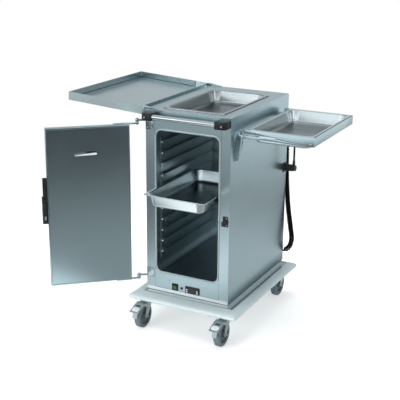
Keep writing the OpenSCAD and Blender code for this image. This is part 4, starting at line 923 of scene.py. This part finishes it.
class CUPBOARD_OT_cord(bpy.types.Operator):
    """Curly mains cord from the gland on the back up to the plug in its parking socket"""

    bl_idname = "cupboard.cord"
    bl_label = "Curly cord"

    ROUTE = ((0.218, 0.365, 0.867), (0.218, 0.365, 0.840), (0.219, 0.365, 0.770), (0.220, 0.366, 0.700),
             (0.225, 0.368, 0.600), (0.237, 0.370, 0.480), (0.255, 0.374, 0.360), (0.262, 0.374, 0.306),
             (0.251, 0.371, 0.261), (0.225, 0.369, 0.239), (0.200, 0.368, 0.236))
    LEAD_FOOT = (0.277, 0.322, 0.775)
    ARCH_HEIGHT = 0.867
    STRETCH = ((0.0, 0.018), (0.24, 0.009), (1.0, 0.009))
    CURLS = ((0.0, 1.0), (0.25, 1.13), (0.48, 1.26), (1.0, 1.26))
    GAP = 0.0005
    REACH = 0.01
    RAMP = 0.024
    STEPS = 24
    RINGS = 20
    SIDES = 10

    def execute(self, context):
        size = context.scene.cupboard_size
        self.thick = size.cord
        self.curl = size.curl
        middle, outward = self.centreline()
        middle.reverse()
        outward.reverse()
        rings = []
        for i, point in enumerate(middle):
            before = middle[max(i - 1, 0)]
            after = middle[min(i + 1, len(middle) - 1)]
            along = (after - before).normalized()
            first = (outward[i] - outward[i].dot(along) * along).normalized()
            second = along.cross(first)
            ring = []
            for k in range(self.SIDES):
                turn = 2 * math.pi * k / self.SIDES
                ring.append(point + self.thick / 2 * (math.cos(turn) * first + math.sin(turn) * second))
            rings.append(ring)
        cord = from_bmesh("mains_cord", loft(rings, True, True), "cord_rubber", 60)
        settle(cord, "cabinet", "cord_rubber", "curly_cord")
        length = sum((b - a).length for a, b in zip(middle, middle[1:]))
        plug = softened("plug", "mains_plug", 0.0025, "black_plastic")
        gland = softened("cable_gland", "cord_gland", 0.002, "black_plastic")
        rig.cord(
            cord, exit=middle[0], length=length, diameter=self.thick, far_end="plug", stiffness="medium",
            lay="hanging", path=middle, with_pieces=[plug, gland])
        self.ribs()
        return {"FINISHED"}

    def ribs(self):
        """Ribs on the tapered boots of the plug and the gland."""
        tree = rib_tree()
        foot = self.LEAD_FOOT
        mouth = self.ROUTE[-1]
        up = [(foot[0], foot[1], foot[2] - 0.006 - 0.006 * i) for i in range(4)]
        along = [(mouth[0] - 0.004 - 0.005 * i, mouth[1], mouth[2]) for i in range(5)]
        for name, points, least, growth, turn in (
                ("plug_boot_ribs", up, 0.0101, 0.0014, 0),
                ("gland_ribs", along, 0.0098, 0.0012, math.pi / 2)):
            sizes = [least + growth * i for i in range(len(points))]
            repeated(
                name, tree, points, sizes, (0, turn, 0), {"Plastic": "black_plastic"}, "cabinet",
                "black_plastic")

    def spline(self, i, t):
        """Point of a smooth curve through the route, a part of the way along one of its steps."""
        route = [Vector(point) for point in self.ROUTE]
        a = route[max(i - 1, 0)]
        b = route[i]
        c = route[i + 1]
        d = route[min(i + 2, len(route) - 1)]
        return 0.5 * (2 * b + (c - a) * t + (2 * a - 5 * b + 4 * c - d) * t * t
                      + (3 * b - a - 3 * c + d) * t ** 3)

    def axis_at(self, s):
        """Point of the curls' axis at a way along it."""
        s = max(0.0, min(self.whole, s))
        i = 0
        while i < len(self.ways) - 2 and self.ways[i + 1] < s:
            i += 1
        part = (s - self.ways[i]) / (self.ways[i + 1] - self.ways[i])
        return self.axis[i].lerp(self.axis[i + 1], part)

    def pitch_at(self, s, wide):
        """Way from curl to curl: stretched at the top, then closed but for a gap inside the bend."""
        ahead = self.axis_at(s + self.REACH) - self.axis_at(s)
        behind = self.axis_at(s) - self.axis_at(s - self.REACH)
        bend = ahead.angle(behind, 0) / self.REACH
        return max(between(self.STRETCH, s), (self.thick + self.GAP) / (1 - wide * bend))

    def curled_at(self, s):
        """How far the cord is curled: 1 along the route, and 0 where it runs straight at both ends."""
        def ease(t):
            u = max(0.0, min(1.0, t))
            return u * u * (3 - 2 * u)
        return ease(s / self.RAMP) * ease((self.whole - self.thick - s) / self.RAMP)

    def centreline(self):
        """Middle of the cord from the plug over the hook to the gland, and the way out of each curl."""
        steps = [k / self.STEPS for k in range(self.STEPS)]
        self.axis = [self.spline(i, t) for i in range(len(self.ROUTE) - 1) for t in steps]
        self.axis.append(Vector(self.ROUTE[-1]))
        self.ways = [0.0]
        for a, b in zip(self.axis, self.axis[1:]):
            self.ways.append(self.ways[-1] + (b - a).length)
        self.whole = self.ways[-1]
        side = Vector((0, 1, 0))
        foot = Vector(self.LEAD_FOOT)
        end = Vector(self.ROUTE[0])
        middle = Vector(((foot.x + end.x) / 2, (foot.y + end.y) / 2, self.ARCH_HEIGHT))
        reach = Vector((foot.x - middle.x, foot.y - middle.y, 0))
        arch = reach.length
        points = [foot + Vector((0, 0, 0.0115 * k)) for k in range(8)]
        for step in steps:
            turn = math.pi * step
            points.append(middle + math.cos(turn) * reach + Vector((0, 0, arch * math.sin(turn))))
        outward = [Vector((1, 0, 0))] * len(points)
        s = 0.0
        turn = 0.0
        while s < self.whole:
            along = (self.axis_at(s + 0.0005) - self.axis_at(s - 0.0005)).normalized()
            across = along.cross(side).normalized()
            out = math.cos(turn) * across + math.sin(turn) * along.cross(across)
            wide = self.curl * between(self.CURLS, s)
            points.append(self.axis_at(s) + wide * self.curled_at(s) * out)
            outward.append(out)
            turn += 2 * math.pi / self.RINGS * self.curled_at(s)
            s += self.pitch_at(s, wide) / self.RINGS
        points[-1] = Vector(self.ROUTE[-1])
        return points, outward


class CUPBOARD_OT_solids(bpy.types.Operator):
    """Finishes on the solids that keep their own shape"""

    bl_idname = "cupboard.solids"
    bl_label = "Plain solids"

    OTHER = {
        "outer_shell": "stainless_side", "top_plate": "stainless_top", "lid": "stainless_lid",
        "well_tub": "stainless_top", "base_platform": "stainless_top", "plinth": "stainless_rail",
        "handle_tube": "tube_steel"}

    def execute(self, context):
        for node, obj in NODES.items():
            set_only(obj, self.OTHER.get(node, SLOT_OF[node]))
        return {"FINISHED"}


class CUPBOARD_OT_mouldings(bpy.types.Operator):
    """Black plastic pieces with rounded edges"""

    bl_idname = "cupboard.mouldings"
    bl_label = "Mouldings"

    def execute(self, context):
        edge = context.scene.cupboard_size.edge
        softened("handle_brackets", "handle_corner_blocks", 1.6 * edge, "black_plastic", 4)
        for node, name, share in (
                ("latch_body", "latch_case", 1.0), ("latch_lever", "latch_handle", 1.2),
                ("keeper", "latch_keeper", 0.5), ("vent_boss", "vent_knob_base", 0.5),
                ("parking_socket", "plug_parking", 0.7), ("switch_bezel", "switch_frame", 0.3),
                ("thermostat", "thermostat_case", 0.4)):
            softened(node, name, share * edge, "black_plastic")
        softened("rocker_switch", "lit_rocker", 0.4 * edge, "switch_green")
        for key in range(1, 5):
            softened(f"thermostat_key_{key}", f"white_key_{key}", 0.25 * edge, "key_white")
        return {"FINISHED"}


class CUPBOARD_OT_sheet_metal(bpy.types.Operator):
    """Folded steel pieces with rounded folds, the lid's hem, and the front's joint lines with strips of painted
    highlight and painted shadow
    """

    bl_idname = "cupboard.sheet_metal"
    bl_label = "Folded steel"

    LID_PIN = (-0.235, 0.0, 1.116)
    LID_OPEN = -176.3
    LEVER_SLIM = 0.62
    HEM_FOOT = 1.1105
    HEM_HEIGHT = 0.0287

    def execute(self, context):
        size = context.scene.cupboard_size
        softened("door_skin", "door_shell", 1.4 * size.fold, "stainless_door")
        softened("side_holder", "pan_holder_frame", 0.8 * size.fold, "hardware_steel", 2)
        softened("hinge_leaves", "door_hinge_leaves", size.fold, "hardware_steel", 2)
        softened("hinge_plates", "post_hinge_plates", size.fold, "hardware_steel", 2)
        softened("side_gussets", "pan_holder_gussets", size.fold, "hardware_steel", 2)
        self.slim_lever(softened("vent_lever", "vent_handle", 1.5 * size.fold, "satin_bright"))
        softened("lid_cheeks", "lid_side_cheeks", size.fold, "hardware_steel", 2)
        self.hem(size.hem)
        self.joint_lines_and_painted_light()
        return {"FINISHED"}

    def slim_lever(self, lever):
        """Makes the lever slimmer about the height of its middle."""
        middle = centre_of("vent_lever").z
        for vert in lever.data.vertices:
            vert.co.z = middle + self.LEVER_SLIM * (vert.co.z - middle)

    def hem(self, thick):
        """Folded inner walls on the lid's two ends and its far side, in a darker copy of the lid's steel as painted
        shade.
        """
        near = -0.150
        far = 0.1955
        end = 0.3435
        outside = ((near, -end), (far, -end), (far, end), (near, end))
        deep = far - thick
        wide = end - thick
        inside = ((near, wide), (deep, wide), (deep, -wide), (near, -wide))
        shape = bmesh.new()
        levels = []
        for z in (self.HEM_FOOT, self.HEM_FOOT + self.HEM_HEIGHT):
            level = []
            for x, y in (*outside, *inside):
                point = turned_open((x, y, z), self.LID_PIN, "Y", self.LID_OPEN)
                level.append(shape.verts.new(point))
            levels.append(level)
        for corners in ((0, 1, 6, 7), (1, 2, 5, 6), (2, 3, 4, 5)):
            for level in levels:
                shape.faces.new([level[k] for k in corners])
        foot, top = levels
        for i in range(len(foot)):
            j = (i + 1) % len(foot)
            shape.faces.new((foot[i], foot[j], top[j], top[i]))
        # The hem takes the darker copy of the lid's steel, as painted shade.
        hem = from_bmesh("lid_hem", shape, "lid_wall")
        bevel = hem.modifiers.new("rounded", "BEVEL")
        bevel.width = thick * 0.3
        bevel.segments = 3
        applied(hem)
        settle(hem, "lid", "stainless_door")

    def joint_lines_and_painted_light(self):
        """Dark joints on the front and dark strips of painted shadow under the cabinet's edge. Beside the joints and
        along the front's foot, strips of bright steel are painted highlight.
        """
        low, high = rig.box("front_frame")
        panel_low, panel_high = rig.box("control_panel")
        plinth_low, plinth_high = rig.box("plinth")
        face = low.y
        thin = 0.0003
        gap = 0.005
        seam = 0.2085
        dark = [((panel_low.x, face - thin, seam), (panel_high.x, face, seam + 0.0014))]
        # Painted highlight: strips of bright steel along the front's foot and beside the control panel's edges.
        bright = [(
            (low.x + 0.001, face - 2 * thin, low.z + 0.0005), (high.x - 0.001, face, seam - 0.0002))]
        for x in (panel_low.x, panel_high.x):
            dark.append(((x - 0.0009, face - thin, seam), (x + 0.0005, face, high.z)))
            bright.append(((x + 0.0005, face - thin, seam), (x + 0.0022, face, high.z - 0.03)))
        # Painted shadow: dark strips on the top of the plinth's front and right side, where the cabinet's overhang
        # shades it.
        under = plinth_high.z
        corner = (plinth_high.x + thin, plinth_low.y, under)
        dark.append(((plinth_low.x, plinth_low.y - thin, under - gap), corner))
        dark.append(((plinth_high.x, plinth_low.y, under - gap), (corner[0], plinth_high.y, under)))
        settle(from_bmesh("dark_joints", slabs(dark), "shadow_gap"), "cabinet", "stainless_panel")
        settle(from_bmesh("bright_folds", slabs(bright), "stainless_rail"), "cabinet", "stainless_panel")


class CUPBOARD_OT_pans(bpy.types.Operator):
    """Pressed pans with a turned-down rim, a slight draft and rounded floors"""

    bl_idname = "cupboard.pans"
    bl_label = "Pans"

    THICK = 0.0012
    RIM = 0.012
    LIP = 0.004
    FOLD = 0.004
    DRAFT = 0.012
    RIM_CORNER = 0.014
    BODY_CORNER = 0.045
    LEAST_CORNER = 0.012

    def execute(self, context):
        self.fillet = context.scene.cupboard_size.fillet
        for node, name, steel, shaded in (
                ("inner_pan", "chamber_pan", "pan_steel", "pan_steel"),
                ("top_pan", "well_pan", "well_pan_steel", "well_pan_floor"),
                ("side_pan", "holder_pan", "pan_steel", "pan_floor")):
            settle(self.pan(node, name, steel, shaded), BODY_OF[node], SLOT_OF[node], node)
        return {"FINISHED"}

    def pan(self, node, name, steel, shaded):
        low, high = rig.box(node)
        middle = (low + high) / 2
        half = (high - low) / 2
        inner, outer = self.sections(high.z - low.z)
        inner_rings = [self.ring(middle, half, high.z, row) for row in inner]
        outer_rings = [self.ring(middle, half, high.z, row) for row in outer]
        shape = loft(inner_rings, False, True)
        self.add(shape, loft(outer_rings, True, False))
        self.add(shape, loft([outer_rings[-1], inner_rings[0]]))
        obj = from_bmesh(name, shape, steel, 50)
        obj.data.materials.append(material(shaded))
        # Painted shade: the floor and the left inner wall take the second, darker finish.
        for face in obj.data.polygons:
            floor = face.normal.z > 0.7 and face.center.z < low.z + 0.4 * self.fillet
            left = face.normal.x > 0.6 and face.center.x < middle.x and face.center.z < high.z - self.LIP
            face.material_index = 1 if floor or left else 0
        return obj

    def sections(self, depth):
        """Inset, height and corner radius down the inner side, and up the outer side."""
        thick = self.THICK
        rim_r = self.RIM_CORNER
        fold = self.FOLD
        fillet = self.fillet
        inner = [(0.0, -self.LIP, rim_r), (0.0, -0.0012, rim_r), (0.0004, -0.0003, rim_r)]
        inner.append((0.0012, 0.0, rim_r - 0.001))
        wall = self.RIM + thick
        for x, z in arc((wall - fold, -fold), fold, 90, 0, 4):
            inner.append((x, z, rim_r + (self.BODY_CORNER - rim_r) * (x - 0.0012) / (wall - 0.0012)))
        for x, z in arc((wall + self.DRAFT + fillet, thick - depth + fillet), fillet, 180, 270, 7):
            inner.append((x, z, self.corner(x - wall)))
        flat = wall + self.DRAFT + fillet + 0.006
        inner.append((flat, thick - depth, self.corner(flat - wall)))
        outer = [(flat - thick, -depth, self.corner(flat - wall))]
        for x, z in arc((self.RIM + self.DRAFT + fillet, fillet - depth), fillet, 270, 180, 7):
            outer.append((x, z, self.corner(x - self.RIM)))
        outer.append((self.RIM, -fold - thick, self.BODY_CORNER))
        outer.append((self.RIM - fold * 0.4, -thick, self.BODY_CORNER - 0.006))
        outer.append((thick * 1.5, -thick, rim_r - 0.001))
        outer.append((thick, -thick - 0.0005, rim_r - thick))
        outer.append((thick, -self.LIP, rim_r - thick))
        return inner, outer

    def corner(self, inset):
        """Radius of the corners where the wall has come in by an inset."""
        return max(self.BODY_CORNER - inset, self.LEAST_CORNER)

    def ring(self, middle, half, top, row):
        inset, z, radius = row
        flat = rounded_ring(half.x - inset, half.y - inset, radius, 10)
        return [Vector((middle.x + x, middle.y + y, top + z)) for x, y in flat]

    def add(self, shape, other):
        mesh = bpy.data.meshes.new("joined")
        other.to_mesh(mesh)
        other.free()
        shape.from_mesh(mesh)
        bpy.data.meshes.remove(mesh)


class CUPBOARD_OT_bumper(bpy.types.Operator):
    """Bumper with an arched back that falls to its nose"""

    bl_idname = "cupboard.bumper"
    bl_label = "Bumper"

    NOSE = 0.0162
    FLANGE = 0.003
    CORNER = 0.016
    ARCH = ((0.0100, 0.0), (0.0045, 0.0016), (0.0012, 0.0052), (0.0, 0.0098), (0.0010, 0.0138),
            (0.0040, 0.0174), (0.0090, 0.0203), (0.0165, 0.0226), (0.0260, 0.0241), (0.0360, 0.0249),
            (0.0440, 0.0250), (0.0480, 0.0246), (0.0495, 0.0236))

    def execute(self, context):
        low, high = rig.box("bumper")
        shell_low, shell_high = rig.box("outer_shell")
        plinth_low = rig.box("plinth")[0]
        self.side = shell_low.x - 0.023 - low.x
        front = plinth_low.y - 0.001 - low.y
        back = high.y - shell_high.y - 0.012
        inner = high.z - low.z - self.FLANGE
        rings = []
        for inset, rise in ((self.side, inner), (self.NOSE, inner), (self.NOSE, 0.0), *self.ARCH):
            half_w = -low.x - self.spread(inset, self.side)
            y0 = low.y + self.spread(inset, front)
            y1 = high.y - self.spread(inset, back)
            flat = rounded_ring(half_w, (y1 - y0) / 2, max(self.CORNER - inset, 0.0015), 6)
            rings.append([Vector((x, y + (y0 + y1) / 2, low.z + rise)) for x, y in flat])
        bumper = from_bmesh("arched_bumper", loft(rings, closed=True), "bumper_plastic", 40)
        settle(bumper, "cabinet", "bumper_plastic", "bumper")
        return {"FINISHED"}

    def spread(self, inset, width):
        """An inset of the side's section, stretched past the nose to another width."""
        if inset <= self.NOSE:
            return inset
        return self.NOSE + (inset - self.NOSE) * (width - self.NOSE) / (self.side - self.NOSE)


class CUPBOARD_OT_wheels(bpy.types.Operator):
    """Castor wheels with a rubber tyre on a moulded core, and nuts on their axles"""

    bl_idname = "cupboard.wheels"
    bl_label = "Wheels"

    RADIUS = 0.0625
    HALF = 0.0165
    HUB_HALF = 0.0185
    BORE = 0.0062
    TYRE_FOOT = 0.0455
    TURNS = 72
    NUT = 0.0115
    NUT_INSET = 0.0030

    def execute(self, context):
        nuts = nut_tree()
        for corner in CORNERS:
            node = f"castor_wheel_{corner}"
            fork = f"castor_fork_{corner}"
            middle = centre_of(node)
            settle(self.wheel(f"wheel_{corner}", middle), BODY_OF[node], SLOT_OF[node], node)
            low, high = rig.box(fork)
            for side, x, turn in (
                    ("left", low.x + self.NUT_INSET, -math.pi / 2),
                    ("right", high.x - self.NUT_INSET, math.pi / 2)):
                repeated(
                    f"axle_nut_{corner}_{side}", nuts, [(x, middle.y, middle.z)], [self.NUT],
                    (0, turn, 0), {"Steel": "zinc"}, fork, "zinc")
        return {"FINISHED"}

    def profile(self):
        """Radius and side of the wheel's section, round the tyre and back through the hub."""
        half = self.HALF
        foot = self.TYRE_FOOT
        shoulder = arc((0.0545, half - 0.008), 0.008, 90, 20, 5)[1:]
        tyre = [(foot, half - 0.0015), (0.0475, half), (0.0565, half), *shoulder]
        tyre.append((self.RADIUS - 0.0004, 0.006))
        core = [(0.0435, half - 0.003), (0.0415, 0.007), (0.0185, 0.007), (0.0165, 0.009)]
        core += [(0.0155, self.HUB_HALF - 0.001), (0.0148, self.HUB_HALF), (self.BORE, self.HUB_HALF)]
        far_tyre = [(r, -x) for r, x in reversed(tyre)]
        far_core = [(r, -x) for r, x in core]
        return [*tyre, (self.RADIUS, 0.0), *far_tyre, *far_core, *reversed(core)]

    def wheel(self, name, middle):
        profile = self.profile()
        rows = []
        for step in range(self.TURNS):
            turn = 2 * math.pi * step / self.TURNS
            rows.append([
                middle + Vector((x, r * math.cos(turn), r * math.sin(turn))) for r, x in profile])
        obj = from_bmesh(name, loft(rows, closed=True), "wheel_rubber", 32)
        obj.data.materials.append(material("wheel_core"))
        for face in obj.data.polygons:
            away = Vector((0, face.center.y - middle.y, face.center.z - middle.z)).length
            face.material_index = 0 if away > self.TYRE_FOOT else 1
        return obj


class CUPBOARD_OT_pedals(bpy.types.Operator):
    """Raised pads and slots on the brake pedals: the pads' pale finish is painted highlight of the lit tread, and the
    slots are dark patches of painted shade
    """

    bl_idname = "cupboard.pedals"
    bl_label = "Pedals"

    TREAD = 0.054
    SLOPE = math.atan2(0.021, TREAD)
    PAD = ((0.0, 0.0), (0.0, 0.0018), (0.0008, 0.0027), (0.0025, 0.0032))
    SLOT = ((0.0, 0.0), (0.0, 0.0003), (0.0003, 0.0005))

    def execute(self, context):
        for side in ("left", "right"):
            node = f"brake_pedal_{side}"
            low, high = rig.box(node)
            bend = Vector(((low.x + high.x) / 2, low.y + self.TREAD, high.z - 0.003))
            # Painted light: the raised pad's pale finish lightens the top of the tread, and the slot is a dark patch
            # standing in for the shade in a slot.
            pad = self.raised(bend, 0.038, 0.0195, 0.0135, 0.008, self.PAD)
            slot = self.raised(bend, 0.011, 0.0125, 0.0045, 0.004, self.SLOT)
            settle(from_bmesh(f"pedal_pad_painted_highlight_{side}", pad, "satin_bright"), BODY_OF[node], "zinc")
            settle(from_bmesh(f"pedal_slot_painted_shade_{side}", slot, "shadow_gap"), BODY_OF[node], "zinc")
        return {"FINISHED"}

    def raised(self, bend, along, half_w, half_l, radius, section):
        """A low rounded shape on the sloping tread, from its bend downwards."""
        down = Vector((0, -math.cos(self.SLOPE), -math.sin(self.SLOPE)))
        out = Vector((0, -math.sin(self.SLOPE), math.cos(self.SLOPE)))

        def place(u, v, rise):
            return bend + Vector((u, 0, 0)) + (along + v) * down + rise * out

        return loft(stepped(section, half_w, half_l, radius, 5, place), True, True)


class CUPBOARD_OT_seal(bpy.types.Operator):
    """Silicone seal with a rounded bead round the door opening"""

    bl_idname = "cupboard.seal"
    bl_label = "Seal"

    WIDTH = 0.009
    CORNER = 0.039

    def execute(self, context):
        low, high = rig.box("opening_seal")
        middle = (low + high) / 2
        half = (high - low) / 2
        thick = high.y - low.y
        bead = [(0.0, 0.0), (0.0, 0.002)]
        bead += [(0.0015, thick * 0.62), (0.003, thick * 0.9), (0.0045, thick), (0.006, thick * 0.9)]
        bead += [(0.0075, thick * 0.62), (self.WIDTH, 0.002), (self.WIDTH, 0.0)]

        def place(u, v, rise):
            return Vector((middle.x + u, high.y - rise, middle.z + v))

        rings = stepped(bead, half.x, half.z, self.CORNER, 10, place)
        seal = from_bmesh("door_seal_bead", loft(rings, closed=True), "seal_rubber", 60)
        settle(seal, "cabinet", "seal_rubber", "opening_seal")
        return {"FINISHED"}


class CUPBOARD_OT_fasteners(bpy.types.Operator):
    """Screw heads on the front, studs on the runners, rivets in the holder and painted shadow strips beside the pans
    """

    bl_idname = "cupboard.fasteners"
    bl_label = "Fasteners"

    LEVELS = 11
    FIRST_LEVEL = 0.381
    LEVEL_STEP = 0.0562
    STUD = 0.0105
    RIVET = 0.008
    STRIP = ((0.0, 0.0), (0.0, 0.0004), (0.0004, 0.0008))

    def execute(self, context):
        self.front_screws()
        studs = stud_tree()
        self.runner_studs(studs)
        self.holder_rivets(studs)
        self.painted_gap_shadows()
        return {"FINISHED"}

    def front_screws(self):
        points = []
        sizes = []
        for low, high in solids_of("front_screws"):
            points.append(((low.x + high.x) / 2, high.y - 0.0002, (low.z + high.z) / 2))
            sizes.append(high.x - low.x)
        repeated(
            "front_screw_heads", screw_tree(), points, sizes, (math.pi / 2, 0, 0),
            {"Steel": "polished_steel", "Recess": "shadow_gap"}, "cabinet", "polished_steel",
            "front_screws")

    def runner_studs(self, studs):
        """Studs at both ends of every runner."""
        low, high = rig.box("runners")
        for side, x, turn in (
                ("left", low.x + 0.0055, math.pi / 2), ("right", high.x - 0.0055, -math.pi / 2)):
            points = []
            for level in range(self.LEVELS):
                height = self.FIRST_LEVEL + self.LEVEL_STEP * level
                points.append((x, low.y + 0.007, height))
                points.append((x, high.y - 0.007, height + 0.004))
            repeated(
                f"runner_studs_{side}", studs, points, [self.STUD] * len(points), (0, turn, 0),
                {"Steel": "satin_bright"}, "cabinet", "stainless_liner")

    def holder_rivets(self, studs):
        """Rivets that join the pan holder's bar to its two cheeks."""
        low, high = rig.box("side_holder")
        for end, y, turn in (("front", low.y, math.pi / 2), ("rear", high.y, -math.pi / 2)):
            points = [(high.x - 0.016, y, z) for z in (low.z + 0.012, high.z - 0.012)]
            repeated(
                f"holder_rivets_{end}", studs, points, [self.RIVET] * len(points), (turn, 0, 0),
                {"Steel": "polished_steel"}, "side_holder", "hardware_steel")

    def painted_gap_shadows(self):
        """Thin black strips along the right edges of the two upper pans, as painted shadow of the gap between each rim
        and its carrier.
        """
        for name, pan, body, carrier in (
                ("well_rest_strip", "top_pan", "cabinet", "top_plate"),
                ("holder_rest_strip", "side_pan", "side_holder", "side_holder")):
            low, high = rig.box(pan)
            middle = Vector((high.x + 0.0016, (low.y + high.y) / 2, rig.box(carrier)[1].z))

            def place(u, v, rise):
                return middle + Vector((u, v, rise))

            rings = stepped(self.STRIP, 0.0014, (high.y - low.y) / 2 - 0.012, 0.0008, 4, place)
            # Painted shadow: a black strip where the gap beside the pan's rim lies in shade.
            strip = from_bmesh(name, loft(rings, True, True), "cord_rubber")
            settle(strip, body, "black_plastic")


class CUPBOARD_OT_controls(bpy.types.Operator):
    """Display of the thermostat and the rim of the pilot lamp"""

    bl_idname = "cupboard.controls"
    bl_label = "Controls"

    WINDOW = ((0.0, 0.0), (0.0, 0.0003), (0.0004, 0.0006))
    RIM = 0.0125

    def execute(self, context):
        self.display()
        self.lamp_rim()
        return {"FINISHED"}

    def display(self):
        """Dark window between the keys."""
        low, high = min(solids_of("thermostat"), key=lambda corners: corners[0].y)
        middle = (low + high) / 2

        def place(u, v, rise):
            return Vector((middle.x - 0.0015 + u, low.y - rise, middle.z + v))

        rings = stepped(self.WINDOW, 0.021, 0.0115, 0.002, 4, place)
        window = from_bmesh("thermostat_window", loft(rings, True, True), "display_glass")
        settle(window, "cabinet", "black_plastic")

    def lamp_rim(self):
        """Dark ring round the pilot lamp."""
        middle = centre_of("pilot_lamp")
        points = [(middle.x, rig.box("control_panel")[0].y - 0.0010, middle.z)]
        repeated(
            "pilot_lamp_rim", rib_tree(), points, [self.RIM], (math.pi / 2, 0, 0),
            {"Plastic": "black_plastic"}, "cabinet", "black_plastic")


class CUPBOARD_PT_panel(bpy.types.Panel):
    """Lists the cupboard's pieces, colours and sizes"""

    bl_idname = "CUPBOARD_PT_panel"
    bl_label = "Hot cupboard"
    bl_space_type = "VIEW_3D"
    bl_region_type = "UI"
    bl_category = "Hot cupboard"

    def draw(self, context):
        for operator in OPERATORS:
            self.layout.operator(operator.bl_idname)
        for group in (context.scene.cupboard_finish, context.scene.cupboard_size):
            for name in group.__annotations__:
                self.layout.prop(group, name)


OPERATORS = (
    CUPBOARD_OT_stage, CUPBOARD_OT_cord, CUPBOARD_OT_solids, CUPBOARD_OT_mouldings,
    CUPBOARD_OT_sheet_metal, CUPBOARD_OT_pans, CUPBOARD_OT_bumper, CUPBOARD_OT_wheels,
    CUPBOARD_OT_pedals, CUPBOARD_OT_seal, CUPBOARD_OT_fasteners, CUPBOARD_OT_controls)
CLASSES = (CupboardFinish, CupboardSize, *OPERATORS, CUPBOARD_PT_panel)


def register():
    for item in CLASSES:
        bpy.utils.register_class(item)
    bpy.types.Scene.cupboard_finish = bpy.props.PointerProperty(type=CupboardFinish)
    bpy.types.Scene.cupboard_size = bpy.props.PointerProperty(type=CupboardSize)


def unregister():
    del bpy.types.Scene.cupboard_size
    del bpy.types.Scene.cupboard_finish
    for item in reversed(CLASSES):
        bpy.utils.unregister_class(item)


def main():
    register()
    bpy.ops.cupboard.stage()
    bpy.ops.cupboard.cord()
    bpy.ops.cupboard.solids()
    bpy.ops.cupboard.mouldings()
    bpy.ops.cupboard.sheet_metal()
    bpy.ops.cupboard.pans()
    bpy.ops.cupboard.bumper()
    bpy.ops.cupboard.wheels()
    bpy.ops.cupboard.pedals()
    bpy.ops.cupboard.seal()
    bpy.ops.cupboard.fasteners()
    bpy.ops.cupboard.controls()
    sizes = {
        "cad": [list(corner) for corner in CAD_BOX],
        "visual": [list(corner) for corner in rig.bounds()]}
    with open("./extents.json", "w") as file:
        json.dump(sizes, file, indent=1)


if __name__ == "__main__":
    main()
